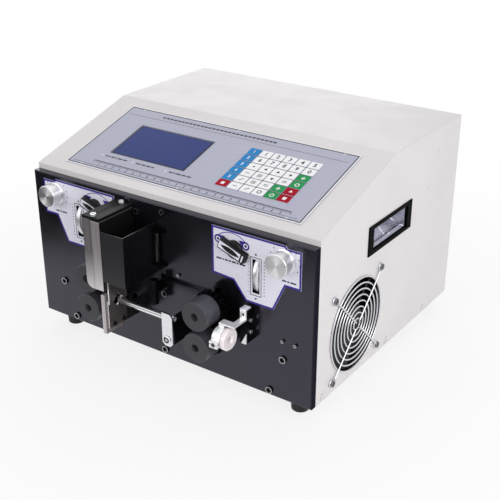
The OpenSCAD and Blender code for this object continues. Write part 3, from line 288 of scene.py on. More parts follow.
def ink(name, colour, rough=0.45):
    """Screen print: flat ink with a faint mottle."""
    s = Shader(name, colour, rough)
    s.tint(s.ramp(s.noise(500.0, 3.0), 0, 1), 0.95, 1.04)
    s.bump(s.noise(4000.0, 2.0), 0.08, 0.00003)
    return s.put(specular=0.35)


def above(s, letter, limit, soft=0.0001):
    """Mask that is 1 where an object coordinate is over a limit, in metres."""
    return s.ramp(s.axis(letter), 0, 1, limit - soft, limit + soft)


def in_front(s, limit, soft=0.0001):
    """Mask that is 1 in front of a limit along Y, in metres."""
    return s.ramp(s.axis("Y"), 1, 0, limit - soft, limit + soft)


def ground_steel(name, colour, shaded_flank=None, shade_y=None, lit_low_end=None):
    """Ground steel with upright streaks, its right face painted in a darker colour as shade.

    Near the plate, past a depth, it is painted dark as shade, and between two heights it is painted
    lighter as a reflection.
    """
    s = Shader(name, colour, 0.34, 0.7)
    streaks = s.noise(420.0, 5.0, (1, 1, 0.02), 0.75)
    s.tint(s.ramp(streaks, 0, 1, 0.25, 0.75), 0.66, 1.18)
    s.rough(s.noise(160.0, 4.0, (1, 1, 0.05)), 0.30, 0.46)
    s.bump(s.noise(1200.0, 4.0, (1, 1, 0.02), 0.7), 0.2, 0.00004)
    if lit_low_end is not None:
        # Painted reflection: lighter towards the tower's low end, fading out between the two heights.
        s.mix(s.ramp(s.axis("Z"), 1, 0, *lit_low_end), s.colour, linear("#e2dcde"))
    if shaded_flank is not None:
        # Painted shade: the faces that look right take a darker colour.
        s.other(s.facing("X", 1), shaded_flank, 0.42, 0.3)
    if shade_y is not None:
        # Painted shade: dark within a depth of the plate.
        s.other(above(s, "Y", shade_y, 0.002), "#141416", 0.5, 0.3)
    return s


def roller_rubber():
    """Ground grey rubber: a sheen round the side, the flat face painted darker as shade."""
    s = rubber("roller_grey", "#45454d", 0.36)
    # Painted shade: the faces that look forward take a darker grey.
    s.other(s.facing("Y", -1), "#2f2f35", 0.5, 0.0)
    return s.put(specular=0.5)


def cover_paint():
    """Black cover: the front faces painted lighter as the light on them, the other faces deep black."""
    s = paint("cover_black", "#0b0c0e", 0.26, 0.12, 1400, 0.1, specular=0.4)
    # Painted light: faces that look forward, within 5 mm of the cover's front, are lighter.
    front = s.math("MULTIPLY", s.facing("Y", -1), in_front(s, edge_of("cutter_cover", "Y", False, 5.0)))
    s.other(front, "#242428", 0.3, 0.0)
    return s


def guide_block_black():
    """Black anodised block with the bright head of its screw in front."""
    s = metal("guide_block_black", "#1c1c20", 0.42, (1, 1, 1), 900, 0.12, 0.1)
    s.other(in_front(s, edge_of("guide_block", "Y", False, 2.1)), "#e6e6ea", 0.3, 0.6)
    return s


def plate_paint():
    """Gloss black plate with a cool sheen; its side faces are dull and painted near black without
    reflection, as shade.
    """
    s = paint("plate_gloss_black", "#0e0e12", 0.20, 0.10, 1400, 0.10, edge=0.5)
    s.bsdf.inputs["Specular Tint"].default_value = linear("#e8e3ff")
    s.put(specular=0.7)
    # Painted shade: the faces that look left and right are a near-black metal that reflects almost
    # nothing.
    for way in (1, -1):
        s.other(s.facing("X", way), "#0b0b0d", 0.6, 1.0)
    return s


def spun_aluminium(name, colour, centre):
    """Turned knob: fine streaks about its axis, with the drawn-out gloss of a spun face."""
    s = Shader(name, colour, 0.3, 0.92)
    dx = s.math("SUBTRACT", s.axis("X"), centre.x)
    dz = s.math("SUBTRACT", s.axis("Z"), centre.z)
    turn = s.math("ARCTAN2", dz, dx)
    streaks = s.node("ShaderNodeTexNoise", noise_dimensions="1D")
    streaks.inputs["Detail"].default_value = 5.0
    streaks.inputs["Scale"].default_value = 9.0
    s.link(turn, streaks.inputs["W"])
    s.tint(s.ramp(streaks.outputs["Fac"], 0, 1), 0.72, 1.0)
    tangent = s.node("ShaderNodeTangent", direction_type="RADIAL", axis="Y")
    s.link(tangent.outputs["Tangent"], s.bsdf.inputs["Tangent"])
    s.rough(s.noise(60.0, 3.0), 0.28, 0.38)
    s.bump(s.noise(500.0, 2.0, (1, 0.02, 1)), 0.02, 0.00002)
    return s.put(anisotropic=0.85, grain_turn=0.25)


def with_screws(s, letter, limit, colour="#c9c9cc", rough=0.3, shiny=1.0):
    """Screw heads of another finish, on the same node past a limit."""
    s.other(above(s, letter, limit), colour, rough, shiny)
    return s


def display_blue(lo, hi):
    """Display window: deep blue under clear gloss, painted dark towards its rim as the shade of its
    recess.
    """
    s = Shader("display_blue", "#13307a", 0.2)
    # Painted shade: the colour falls to a fifth near the rim, as the window's recess would shade it.
    sides = []
    for letter, a, b in (("X", lo.x, hi.x), ("Y", lo.y, hi.y)):
        middle, half = (a + b) / 2, (b - a) / 2
        off = s.math("ABSOLUTE", s.math("SUBTRACT", s.axis(letter), middle))
        sides.append(s.ramp(off, 1.0, 0.0, half * 0.93, half * 0.995))
    inside = s.math("MULTIPLY", *sides)
    drift = s.math("MULTIPLY", inside, s.ramp(s.noise(14.0, 3.0), 0.82, 1.0))
    s.tint(drift, 0.2, 1.0)
    s.bump(s.noise(40.0, 2.0), 0.02, 0.0001)
    return s.put(specular=0.25, coat=0.03, coat_rough=0.08)


# How far behind the outer face a handle's frame gives way to its bowl, in metres
BOWL_FROM, BOWL_FULL = 0.0035, 0.0045


def pocket_handle(name, outer):
    """Dull black frame with a polished steel bowl behind it."""
    s = plastic(name, "#060607", 0.5, 0.04, 900)
    s.put(specular=0.02)
    depth = s.math("ABSOLUTE", s.math("SUBTRACT", s.axis("X"), outer))
    s.other(s.ramp(depth, 0, 1, BOWL_FROM, BOWL_FULL), "#e4e4ea", 0.1, 1.0)
    return s


def blade_steel(blade):
    """Blade: dull flat; ground steel edges painted near white as their highlight; black screws."""
    # Painted highlight: all but the right-facing flat are near white, brighter than ground steel.
    s = metal(f"{blade}_blade_steel", "#f4f4f6", 0.26, (1, 0.04, 1), 900, 0.1, 0.06, 0.4)
    s.other(s.facing("X", 1), "#514a49", 0.42, 0.4)
    return with_screws(s, "X", edge_of(f"{blade}_blade", "X", True, 2.8), "#141416", 0.4, 0.3)


# Heights at the low end of the tower where its steel is painted lighter as a reflection
LIT_LOW_END = tuple(edge_of("upper_carrier", "Z", False, up) for up in (0.0, 46.0))
# Above this height over the case floor the case screws are the fan's
FAN_SCREW_H = 10.0

MATS = {
    "case": paint("case_powder", "#e3dfdf", 0.48, 0.2, edge=1.2, specular=0.4),
    "plate": plate_paint(),
    "label": ink("label_film", "#e8e7f3", 0.35),
    "label_blue": ink("label_blue", "#33278c", 0.38),
    "label_line": ink("label_line", "#242440", 0.4),
    "overlay": ink("overlay_film", "#b3b4c6", 0.36),
    "overlay_line": ink("overlay_line", "#2f303a", 0.4),
    "lamp": ink("lamp_dot", "#d3d4df", 0.4),
    "key_white": plastic("key_white", "#f7f7f9", 0.38, 0.1, 1500, vary=0.02),
    "key_gap": ink("key_gap", "#4b4c58", 0.5),
    "key_blue": plastic("key_blue", "#2386c8", 0.4, 0.1, 1500, vary=0.03).put(specular=0.1),
    "key_green": plastic("key_green", "#1f9450", 0.4, 0.1, 1500, vary=0.03).put(specular=0.1),
    "key_red": plastic("key_red", "#a80d24", 0.4, 0.1, 1500, vary=0.03).put(specular=0.05),
    "key_ink": ink("key_ink", "#26262f", 0.45),
    "board": plastic("board_green", "#1d5a34", 0.4),
    "fan": plastic("fan_black", "#101014", 0.45),
    "chrome": metal("guard_chrome", "#d4d4d9", 0.24, (1, 1, 1), 300, 0.03, 0.05),
    "screw": metal("zinc_screw", "#b9b9bb", 0.28, (1, 1, 1), 900, 0.10),
    "oxide": metal("black_oxide", "#2c2c31", 0.34, (1, 1, 1), 900, 0.12),
    "foot": rubber("foot_rubber", "#1a1a1b", 0.7),
    "inlet": plastic("inlet_black", "#161618", 0.4),
    "supply": metal("supply_sheet", "#b4b6b9", 0.35, (1, 30, 1), 300),
    "motor": paint("motor_black", "#26262a", 0.4, 0.3, 700, 0.1),
    "guide": metal("guide_steel", "#77787c", 0.35, (40, 1, 1), 300),
    "roller": roller_rubber(),
    "gear": metal("gear_steel", "#1b1b1e", 0.42, (1, 1, 1), 500),
    "spring": metal("spring_wire", "#9a9a9e", 0.3, (1, 1, 1), 700),
    "knob": plastic("knob_black", "#0a0a0c", 0.4, 0.15, 1800).put(specular=0.3),
    "white": ink("white_line", "#f1f1f2", 0.45),
    "wheel": metal("wheel_aluminium", "#d9d9dc", 0.34, (1, 1, 1), 700, 0.1),
    "column": ground_steel("column_steel", "#858083", lit_low_end=LIT_LOW_END),
    "upper_carrier": ground_steel("upper_carrier_steel", "#b4aeb1", "#0d0d0f", lit_low_end=LIT_LOW_END),
    "lower_carrier": ground_steel("lower_carrier_steel", "#c4bec0", "#7a7370", at(0, 25, 0).y),
    "lid": with_screws(
        paint("lid_black", "#0c0c0e", 0.45, 0.2, 1200, 0.1, specular=0.1),
        "Z",
        edge_of("tower_lid", "Z", True, 2.2),
    ),
    "cover": cover_paint(),
    "hinge": paint("hinge_black", "#050506", 0.75, 0.2, 1200, 0.1, specular=0.02),
    "case_screw": with_screws(
        paint("screw_powder", "#e3dfdf", 0.42, 0.2), "Z", FLOOR_Z + FAN_SCREW_H * MM, "#85858a"
    ),
    "tube": metal("tube_steel", "#e6e6ea", 0.18, (0.04, 1, 1), 900, 0.06, 0.05),
    "black_alu": metal("black_anodised", "#1c1c20", 0.42, (1, 1, 1), 900, 0.12, 0.1),
    "guide_block": guide_block_black(),
    "bracket": with_screws(
        metal("bracket_black", "#1a1a1d", 0.42, (1, 1, 1), 900, 0.12, 0.1),
        "X",
        edge_of("inlet_bracket", "X", True, 1.3),
        "#f0f0f2",
    ),
    "arm": metal("arm_steel", "#f6f6f8", 0.3, (1, 1, 0.1), 700, 0.1, 0.06, 0.55),
    "ceramic": plastic("eyelet_ceramic", "#f8eef0", 0.2, 0.05, 900, coat=0.5, vary=0.03),
}
for blade in ("upper", "lower"):
    MATS[f"{blade}_blade"] = blade_steel(blade)
for side, way in SIDES:
    MATS[f"{side}_gap_knob"] = spun_aluminium(
        f"{side}_knob_aluminium", "#fafafc", at(GAP[0] * way, 0, GAP[1])
    )
    MATS[f"handle_{side}"] = pocket_handle(
        f"{side}_handle_gloss", edge_of(f"handle_{side}", "X", way > 0, 0)
    )
MATS["display"] = display_blue(*(Vector(v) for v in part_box("display_window")))

NODE_MATERIAL = {
    "base_tray": "case",
    "case_cover": "case",
    "back_panel": "case",
    "front_plate": "plate",
    "dial_labels": "label",
    "control_overlay": "overlay",
    "display_window": "display",
    "display_module": "board",
    "fan_frame": "fan",
    "fan_rotor": "fan",
    "fan_guard": "chrome",
    "case_screws": "case_screw",
    "plate_screws": "oxide",
    "handle_left": "handle_left",
    "handle_right": "handle_right",
    "feet": "foot",
    "power_inlet": "inlet",
    "power_rocker": "inlet",
    "power_supply": "supply",
    "control_board": "board",
    "feed_motors": "motor",
    "shaft_bearings": "screw",
    "lift_guides": "guide",
    "wheel_brackets": "guide",
    "cutter_column": "column",
    "tower_lid": "lid",
    "upper_carrier": "upper_carrier",
    "upper_blade": "upper_blade",
    "lower_carrier": "lower_carrier",
    "lower_blade": "lower_blade",
    "lead_screw": "guide",
    "cutter_motor": "motor",
    "cutter_bracket": "guide",
    "cutter_cover": "cover",
    "cover_hinge": "hinge",
    "guide_tube": "tube",
    "guide_block": "guide_block",
    "guide_post": "black_alu",
    "inlet_bracket": "bracket",
    "inlet_arm": "arm",
    "inlet_collar": "arm",
    "inlet_eyelet": "ceramic",
}
for side, _ in SIDES:
    NODE_MATERIAL.update(
        {
            f"{side}_lower_roller": "roller",
            f"{side}_upper_roller": "roller",
            f"{side}_lower_shaft": "gear",
            f"{side}_upper_shaft": "gear",
            f"{side}_lift_block": "guide",
            f"{side}_spring": "spring",
            f"{side}_press_knob": "knob",
            f"{side}_gap_knob": f"{side}_gap_knob",
            f"{side}_pressure_wheel": "wheel",
        }
    )

# Edge rounding of the CAD nodes, in millimetres
EDGE = {
    "cutter_column": 0.6,
    "upper_carrier": 0.5,
    "lower_carrier": 0.4,
    "tower_lid": 0.5,
    "cutter_cover": 0.5,
    "guide_tube": 0.3,
    "handle_left": 0.6,
    "handle_right": 0.6,
    "inlet_bracket": 0.6,
    "inlet_arm": 0.4,
    "inlet_collar": 0.5,
    "guide_block": 0.5,
    "control_overlay": 0.25,
    "power_inlet": 0.5,
    "power_rocker": 0.5,
    "feet": 0.6,
}
for side, _ in SIDES:
    EDGE.update({f"{side}_lower_roller": 0.7, f"{side}_upper_roller": 0.7})
EDGE_ANGLE = math.radians(40)

# Points closer than these are one, in metres
WELD = 0.00002
DOUBLES = 0.00001


def round_edges(obj, width):
    """Rounds a CAD node's sharp edges for the light, with its mesh left as it is."""
    weld = obj.modifiers.new("weld", "WELD")
    weld.merge_threshold = WELD
    bevel = obj.modifiers.new("edges", "BEVEL")
    bevel.width = width * MM
    bevel.segments = 3
    bevel.limit_method = "ANGLE"
    bevel.angle_limit = EDGE_ANGLE
    bevel.harden_normals = True


def dress(node, key):
    obj = NODES[node]
    obj.data.materials.clear()
    obj.data.materials.append(MATS[key].mat)
    if node in EDGE:
        round_edges(obj, EDGE[node])


for node, key in NODE_MATERIAL.items():
    dress(node, key)


# Printed artwork: flat inked shapes a hair above the face they lie on, in millimetres
INK_T = 0.06
FILM = 0.07
HAIR = 0.05
BOLD = 0.025
STROKE_MIN, STROKE_STEP, STROKE_GAP = 2.0, 0.55, 1.3


class Print:
    """Collects flat shapes of one ink on one plane into one thin mesh."""

    def __init__(self, name, plane, lift, ink_name, body="machine", thick=INK_T):
        self.name = name
        self.plane = plane
        self.lift = lift
        self.ink = MATS[ink_name].mat
        self.body = body
        self.thick = thick
        self.bm = bmesh.new()

    def poly(self, points):
        verts = [self.bm.verts.new(self.plane.point(u, v, self.lift)) for u, v in points]
        face = self.bm.faces.new(verts)
        face.normal_update()
        if face.normal.dot(self.plane.n) < 0:
            face.normal_flip()

    def rect(self, u, v, w, h, turn=0.0):
        c, s = math.cos(turn), math.sin(turn)
        corners = [(-w / 2, -h / 2), (w / 2, -h / 2), (w / 2, h / 2), (-w / 2, h / 2)]
        self.poly([(u + a * c - b * s, v + a * s + b * c) for a, b in corners])

    def disc(self, u, v, r, sides=24, turn=0.0):
        """A disc, or with few sides a triangle or a square."""
        steps = [turn + k * math.tau / sides for k in range(sides)]
        self.poly([(u + r * math.cos(a), v + r * math.sin(a)) for a in steps])

    def band(self, u, v, r0, r1, a0=0, a1=360, steps=28, flat=1.0):
        """Arc band between two radii, angles in degrees; flat below 1 makes it an ellipse."""
        for k in range(steps):
            s = math.radians(a0 + (a1 - a0) * k / steps)
            e = math.radians(a0 + (a1 - a0) * (k + 1) / steps)
            corners = [(r0, s), (r1, s), (r1, e), (r0, e)]
            self.poly([(u + r * math.cos(a), v + r * flat * math.sin(a)) for r, a in corners])

    def outline(self, points, w):
        """A line of width w just inside a closed outline."""
        inner = inset(points, w)
        for k in range(len(points)):
            n = (k + 1) % len(points)
            self.poly([points[k], points[n], inner[n], inner[k]])

    def text(self, words, u, v, size):
        """Digits, centred and a little bold."""
        curve = bpy.data.curves.new("digit", "FONT")
        curve.body = words
        curve.size = size * MM
        curve.offset = BOLD * size * MM
        curve.align_x = "CENTER"
        curve.align_y = "CENTER"
        curve.resolution_u = 3
        obj = bpy.data.objects.new("digit", curve)
        bpy.context.scene.collection.objects.link(obj)
        depsgraph = bpy.context.evaluated_depsgraph_get()
        mesh = bpy.data.meshes.new_from_object(obj.evaluated_get(depsgraph))
        axes = Matrix((self.plane.u, self.plane.v, self.plane.n)).transposed().to_4x4()
        mesh.transform(Matrix.Translation(self.plane.point(u, v, self.lift)) @ axes)
        self.bm.from_mesh(mesh)
        bpy.data.objects.remove(obj)
        bpy.data.curves.remove(curve)
        bpy.data.meshes.remove(mesh)

    def done(self):
        mesh = bpy.data.meshes.new(self.name)
        self.bm.to_mesh(mesh)
        self.bm.free()
        obj = bpy.data.objects.new(self.name, mesh)
        bpy.context.scene.collection.objects.link(obj)
        mesh.materials.append(self.ink)
        solid = obj.modifiers.new("film", "SOLIDIFY")
        solid.thickness = self.thick * MM
        solid.offset = -1
        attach(obj, self.body)


def inset(points, w):
    """The outline moved inwards by w, corners mitred."""
    count = len(points)
    area = sum(points[k - 1][0] * points[k][1] - points[k][0] * points[k - 1][1] for k in range(count))
    way = 1 if area > 0 else -1
    out = []
    for k in range(count):
        a, b, c = (Vector(points[i % count]) for i in (k - 1, k, k + 1))
        d0, d1 = (b - a).normalized(), (c - b).normalized()
        n0 = Vector((-d0.y, d0.x)) * way
        n1 = Vector((-d1.y, d1.x)) * way
        half = (n0 + n1).normalized()
        out.append(tuple(b + half * (w / max(0.35, half.dot(n0)))))
    return out


def rectangle(u0, v0, u1, v1):
    return [(u0, v0), (u1, v0), (u1, v1), (u0, v1)]


def rounded(u, v, w, h, r):
    """A rectangle about a centre with rounded corners."""
    shape = []
    for cx, cy, a0 in ((1, 1, 0), (-1, 1, 90), (-1, -1, 180), (1, -1, 270)):
        for t in range(4):
            a = math.radians(a0 + t * 30)
            x = u + cx * (w / 2 - r) + r * math.cos(a)
            y = v + cy * (h / 2 - r) + r * math.sin(a)
            shape.append((x, y))
    return shape


def dashes(printed, u0, u1, v, h, seed):
    """A row of short strokes of uneven length, where the film carries small print."""
    u = u0
    while u < u1:
        seed = (seed * 7 + 3) % 11
        w = STROKE_MIN + seed * STROKE_STEP
        printed.rect(u + w / 2, v, w, h)
        u += w + STROKE_GAP


def cross(printed, u, v, size, wide):
    """The cross recess of a screw."""
    printed.rect(u, v, size, wide)
    for way in (1, -1):
        printed.rect(u, v + way * (size + wide) / 4, wide, (size - wide) / 2)


# Solids
SHARP = math.radians(35)


def skin(bm, loops):
    """A closed solid through loops of points, with flat ends."""
    count = len(loops[0])
    faces = [bm.faces.new(loops[-1]), bm.faces.new(list(reversed(loops[0])))]
    for low, high in zip(loops, loops[1:]):
        for k in range(count):
            n = (k + 1) % count
            faces.append(bm.faces.new((low[k], low[n], high[n], high[k])))
    bmesh.ops.recalc_face_normals(bm, faces=faces)


def mesh_piece(name, bm, key, body="machine"):
    """The mesh as a piece of one material that rides on a body, smooth but for its sharp edges."""
    mesh = bpy.data.meshes.new(name)
    bm.to_mesh(mesh)
    bm.free()
    mesh.shade_smooth()
    mesh.set_sharp_from_angle(angle=SHARP)
    mesh.materials.append(MATS[key].mat)
    obj = bpy.data.objects.new(name, mesh)
    bpy.context.scene.collection.objects.link(obj)
    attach(obj, body)
    return obj


# Dial labels
LABEL_T = 0.8
LABEL = [
    (72, 191.5), (168, 191.5), (171, 188.5), (188.5, 188.5), (188.5, 144), (169, 144),
    (154, 111), (117.5, 111), (101, 132), (72, 134),
]
LENS = (99.0, 166.4)
LENS_R, LENS_FLAT = 25.2, 0.87
ICON_U, ICON_V, ICON_R = 18.4, 11.0, 5.0
TIP_U, TIP_V = 9.0, 15.8
RING_R0, RING_R1 = 1.7, 3.0
LENS_ARC = (24, 156)
BORDER_W = 2.3
SCALE_U, SCALE_V, SCALE_LINE = 7.4, 23.2, 0.8
SCALE_TIP_V, SCALE_TIP_R = 26.6, 1.9
MARKS, MARK_STEP, MARK_LINE = 11, 4, 0.45
MARK_U, MARK_LONG, MARK_SHORT = 9.6, 2.6, 1.5
DOT_U, DOT_R = 11, 0.7
PRESS_TEXT_U, PRESS_TEXT_V, PRESS_TEXT_H = (-21, 16), 154, 2.0
GAP_TEXT_U, GAP_TEXT_V, GAP_TEXT_H = (-3, 16), -23.5, 1.8
GAP_DOT_U, GAP_DOT_V, GAP_DOT_R = 18.6, 17.4, 0.75
GAP_DOTS, GAP_DOT_FROM, GAP_DOT_STEP = 11, -30, 24


def teardrop(centre, r, tip):
    """A disc drawn out to a tip along its two tangents."""
    reach = Vector(tip) - Vector(centre)
    heading = math.atan2(reach.y, reach.x)
    open_half = math.acos(r / reach.length)
    sweep = math.tau - 2 * open_half
    turns = [heading + open_half + sweep * i / 20 for i in range(21)]
    return [tuple(tip)] + [(centre[0] + r * math.cos(a), centre[1] + r * math.sin(a)) for a in turns]


def dial_artwork(name, k):
    """Border, lever lens, pressure scale and gap scale of one dial label; k is 1 right, -1 left."""
    lift = LABEL_T + FILM
    blue = Print(f"{name}_border", PLATE, lift, "label_blue")
    blue.outline([(u * k, v) for u, v in LABEL], BORDER_W)
    px, pz = LENS[0] * k, LENS[1]
    blue.band(px, pz, LENS_R - 0.5, LENS_R + 0.5, *LENS_ARC, 36, LENS_FLAT)
    icons = [(px + way * ICON_U, pz + ICON_V) for way in (1, -1)]
    for way, icon in zip((1, -1), icons):
        blue.poly(teardrop(icon, ICON_R, (px + way * TIP_U, pz + TIP_V)))
    blue.done()
    rings = Print(f"{name}_rings", PLATE, lift + FILM, "white")
    for u, v in icons:
        rings.band(u, v, RING_R0, RING_R1, steps=20)
    rings.done()
    lines = Print(f"{name}_lines", PLATE, lift, "label_line")
    pressure_scale(lines, k)
    dashes(lines, px + PRESS_TEXT_U[0], px + PRESS_TEXT_U[1], PRESS_TEXT_V, PRESS_TEXT_H, 4)
    gx, gz = GAP[0] * k, GAP[1]
    dashes(lines, gx + GAP_TEXT_U[0], gx + GAP_TEXT_U[1], gz + GAP_TEXT_V, GAP_TEXT_H, 2)
    for i in range(GAP_DOTS):
        a = math.radians(GAP_DOT_FROM + i * GAP_DOT_STEP)
        lines.disc(gx + GAP_DOT_U * math.cos(a), gz + GAP_DOT_V * math.sin(a), GAP_DOT_R, 10)
    lines.done()


def pressure_scale(lines, k):
    """Frame round the thumbwheel's slot, with arrows, marks and dots."""
    u, v = WHEEL[0] * k, WHEEL[1]
    lines.outline(rectangle(u - SCALE_U, v - SCALE_V, u + SCALE_U, v + SCALE_V), SCALE_LINE)
    for way in (1, -1):
        lines.disc(u, v + way * SCALE_TIP_V, SCALE_TIP_R, 3, way * math.pi / 2)
    low = v - MARK_STEP * (MARKS // 2)
    for i in range(MARKS):
        lines.disc(u + DOT_U * k, low + i * MARK_STEP, DOT_R, 12)
        wide = MARK_LONG if i % 5 == 0 else MARK_SHORT
        lines.rect(u - MARK_U * k, low + i * MARK_STEP, wide, MARK_LINE)


for side, way in SIDES:
    dial_artwork(f"{side}_dial", way)

# Knobs in front of the labels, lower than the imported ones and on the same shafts
KNOB_BACK = LABEL_T + 0.15
SHAFT_CUT = LABEL_T + 0.2
KNOB_SIDES = 72
GAP_PROFILE = [
    (14.0, KNOB_BACK), (14.0, 2.8), (12.4, 3.6), (12.4, 5.2), (13.5, 6.4), (13.7, 17.4), (12.9, 18.2)
]
LEVER_R = 11.0
LEVER_PROFILE = [(LEVER_R, KNOB_BACK), (LEVER_R, 3.0), (LEVER_R - 1.0, 4.2), (LEVER_R - 3.0, 4.6)]
LEVER_TILT = math.radians(20)
LEVER_TOP = 9.0
BAR_LEVELS = [(1.6, 37.0, 12.6), (7.4, 36.4, 11.2), (8.6, 35.8, 10.8), (LEVER_TOP, 35.0, 10.2)]
BAR_CORNER = 1.4

# The pale film on the bar: along from, length, steps, and its two edges; the black lens that it leaves
FILM_U, FILM_L, FILM_STEPS = -16.8, 29.4, 20
FILM_EDGES = ((4.9, 1), (-3.6, -1))
EYE_U, EYE_V, EYE_L, EYE_H = -1.0, 0.5, 13.5, 3.3
POINTER = (15.6, 0.6, 1.8, 8.2)


def turned(name, centre, profile, key, body):
    """A piece turned about the plate's normal, its profile given as (radius, out) from back to front."""
    bm = bmesh.new()
    steps = [k * math.tau / KNOB_SIDES for k in range(KNOB_SIDES)]
    loops = [
        [bm.verts.new(at(centre[0] + r * math.cos(a), out, centre[1] + r * math.sin(a))) for a in steps]
        for r, out in profile
    ]
    skin(bm, loops)
    mesh_piece(name, bm, key, body)


def shaft_behind(node, key, body):
    """The part of a knob's node that lies behind its label; it stands for the node."""
    bm = bmesh.new()
    bm.from_mesh(NODES[node].data)
    bmesh.ops.remove_doubles(bm, verts=bm.verts, dist=DOUBLES)
    whole = bm.verts[:] + bm.edges[:] + bm.faces[:]
    cut = bmesh.ops.bisect_plane(
        bm, geom=whole, plane_co=at(0, SHAFT_CUT, 0), plane_no=(0, -1, 0), clear_outer=True
    )
    rim = [part for part in cut["geom_cut"] if isinstance(part, bmesh.types.BMEdge)]
    bmesh.ops.edgeloop_fill(bm, edges=rim)
    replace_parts(mesh_piece(f"{node}_shaft", bm, key, body), node)


def gap_knob(side, k):
    body = f"{side}_gap_dial"
    node = f"{side}_gap_knob"
    shaft_behind(node, "guide", body)
    turned(f"{node}_cap", (GAP[0] * k, GAP[1]), GAP_PROFILE, node, body)


def press_knob(side, k):
    """Round skirt and low bar; the film on the bar leaves a black lens and marks the pointing end."""
    body = f"{side}_press_lever"
    node = f"{side}_press_knob"
    shaft_behind(node, "guide", body)
    centre = (PRESS[0] * k, PRESS[1])
    turned(f"{node}_skirt", centre, LEVER_PROFILE, "knob", body)
    along = (math.cos(LEVER_TILT), 0, -math.sin(LEVER_TILT))
    across = (math.sin(LEVER_TILT), 0, math.cos(LEVER_TILT))
    top = Plane(at(centre[0], 0, centre[1]), along, across)
    bm = bmesh.new()
    loops = [
        [bm.verts.new(top.point(u, v, out)) for u, v in rounded(0, 0, length, width, BAR_CORNER)]
        for out, length, width in BAR_LEVELS
    ]
    skin(bm, loops)
    mesh_piece(f"{node}_bar", bm, "knob", body)
    film = Print(f"{side}_lever_lines", top, LEVER_TOP + INK_T, "label", body)
    steps = [FILM_U + FILM_L * i / FILM_STEPS for i in range(FILM_STEPS + 1)]
    lens = [EYE_H * (1 - ((u - EYE_U) / EYE_L) ** 2) for u in steps]
    for edge, way in FILM_EDGES:
        for i in range(FILM_STEPS):
            near = [(steps[i + j], EYE_V + way * max(0.0, lens[i + j])) for j in (0, 1)]
            far = [(steps[i + j], edge) for j in (1, 0)]
            film.poly(near + far)
    film.rect(*POINTER)
    film.done()


for side, way in SIDES:
    gap_knob(side, way)
    press_knob(side, way)


# Screw heads on the plate: a bright ring printed on each dark head's rim is a painted highlight
def islands(obj):
    """The boxes of a node's separate solids."""
    bm = bmesh.new()
    bm.from_mesh(obj.data)
    bmesh.ops.remove_doubles(bm, verts=bm.verts, dist=DOUBLES)
    left = set(bm.verts)
    boxes = []
    while left:
        queue, seen = [left.pop()], []
        while queue:
            vert = queue.pop()
            seen.append(vert.co.copy())
            for edge in vert.link_edges:
                other = edge.other_vert(vert)
                if other in left:
                    left.remove(other)
                    queue.append(other)
        boxes.append([Vector(f(p[i] for p in seen) for i in range(3)) for f in (min, max)])
    bm.free()
    return boxes


# A plate screw's painted highlight ring, its edges measured in from the head's outside
RIM_IN, RIM_OUT = 1.1, 0.2


def screw_rim_highlights():
    for k, (lo, hi) in enumerate(islands(NODES["plate_screws"])):
        middle = (lo + hi) / 2 - PLATE.origin
        # Painted highlight: a zinc-coloured ring on each black head.
        rim = Print(f"screw_rim_{k}", PLATE, (FACE_Y - lo.y) / MM + HAIR, "screw")
        r = (hi.x - lo.x) / 2 / MM
        rim.band(middle.x / MM, middle.z / MM, r - RIM_IN, r - RIM_OUT, steps=24)
        rim.done()


screw_rim_highlights()

# The clamp screw's place on the collar, and its radii
COLLAR_EAR = (110.0, 52.0, 77.0)
COLLAR_SOCKET_R, COLLAR_RIM_R = 2.2, 3.2


def collar_screw():
    """The clamp screw in the front of the collar: a zinc ring, and its socket as a dark disc of painted
    shade.
    """
    ear = Plane(at(*COLLAR_EAR), (1, 0, 0), (0, 0, 1))
    rim = Print("collar_screw_rim", ear, HAIR, "screw")
    rim.band(0, 0, COLLAR_SOCKET_R, COLLAR_RIM_R, steps=20)
    rim.done()
    # Painted shade: the socket is a flat dark disc standing for the shade in its recess.
    socket = Print("collar_screw_socket", ear, HAIR, "key_ink")
    socket.disc(0, 0, COLLAR_SOCKET_R)
    socket.done()


collar_screw()

# The guide's pivot, across and up, and the radii of the ring on its screw
GUIDE_PIVOT = (36.5, 54.0)
GUIDE_R0, GUIDE_R1 = 2.1, 3.9


def guide_screw():
    """Dark ring and grey middle of the screw that the guide swings on."""
    lift = (FACE_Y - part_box("guide_block")[0][1]) / MM + HAIR
    ring = Print("guide_screw_ring", PLATE, lift, "oxide")
    ring.band(*GUIDE_PIVOT, GUIDE_R0, GUIDE_R1, steps=24)
    ring.done()
    middle = Print("guide_screw_middle", PLATE, lift, "screw")
    middle.disc(*GUIDE_PIVOT, GUIDE_R0)
    middle.done()


guide_screw()

# Control panel, in millimetres across from the middle and up the slope
SLOPE_LEN = math.hypot(SLOPE_RUN, CASE_H - PLATE_H - LIP_H)
OVER_W, OVER_L, OVER_T = 343.0, 135.0, 1.0
OVER_S = (SLOPE_LEN - OVER_L) / 2 - 2.5
LCD_X, LCD_S, LCD_W, LCD_L = -69.5, OVER_S + OVER_L / 2, 114.0, 63.0
KEY_X, KEY_PX, KEY_PS, KEY_GAP, KEY_H = 47.5, 16.7, 13.2, 1.2, 0.6
KEY_S = LCD_S - 2.3 - KEY_PS * 2.5
RULER_S = OVER_S + 15.2
RULER_U0, RULER_U1 = -135.0, 151.0
RULER_LINE, TICK_LINE = 1.0, 0.7
TICK_STEP, TICK_MAJOR, TICK_SHORT, TICK_LONG = 2.2, 5, 2.4, 3.8
TICK_DIGIT, TICK_DIGIT_DROP = 4.4, 2.4
TITLE_S = OVER_S + OVER_L - 11.0
TITLE_U, TITLE_H = (-112, 62), 2.8
RULE_DROP, RULE_UP, RULE_ENDS, RULE_LINE = 6.5, 6.5, 16, 0.5
PANEL_RIM_IN, PANEL_RIM = 0.2, 1.6
BORDER_IN, BORDER_LINE = 1.9, 1.5
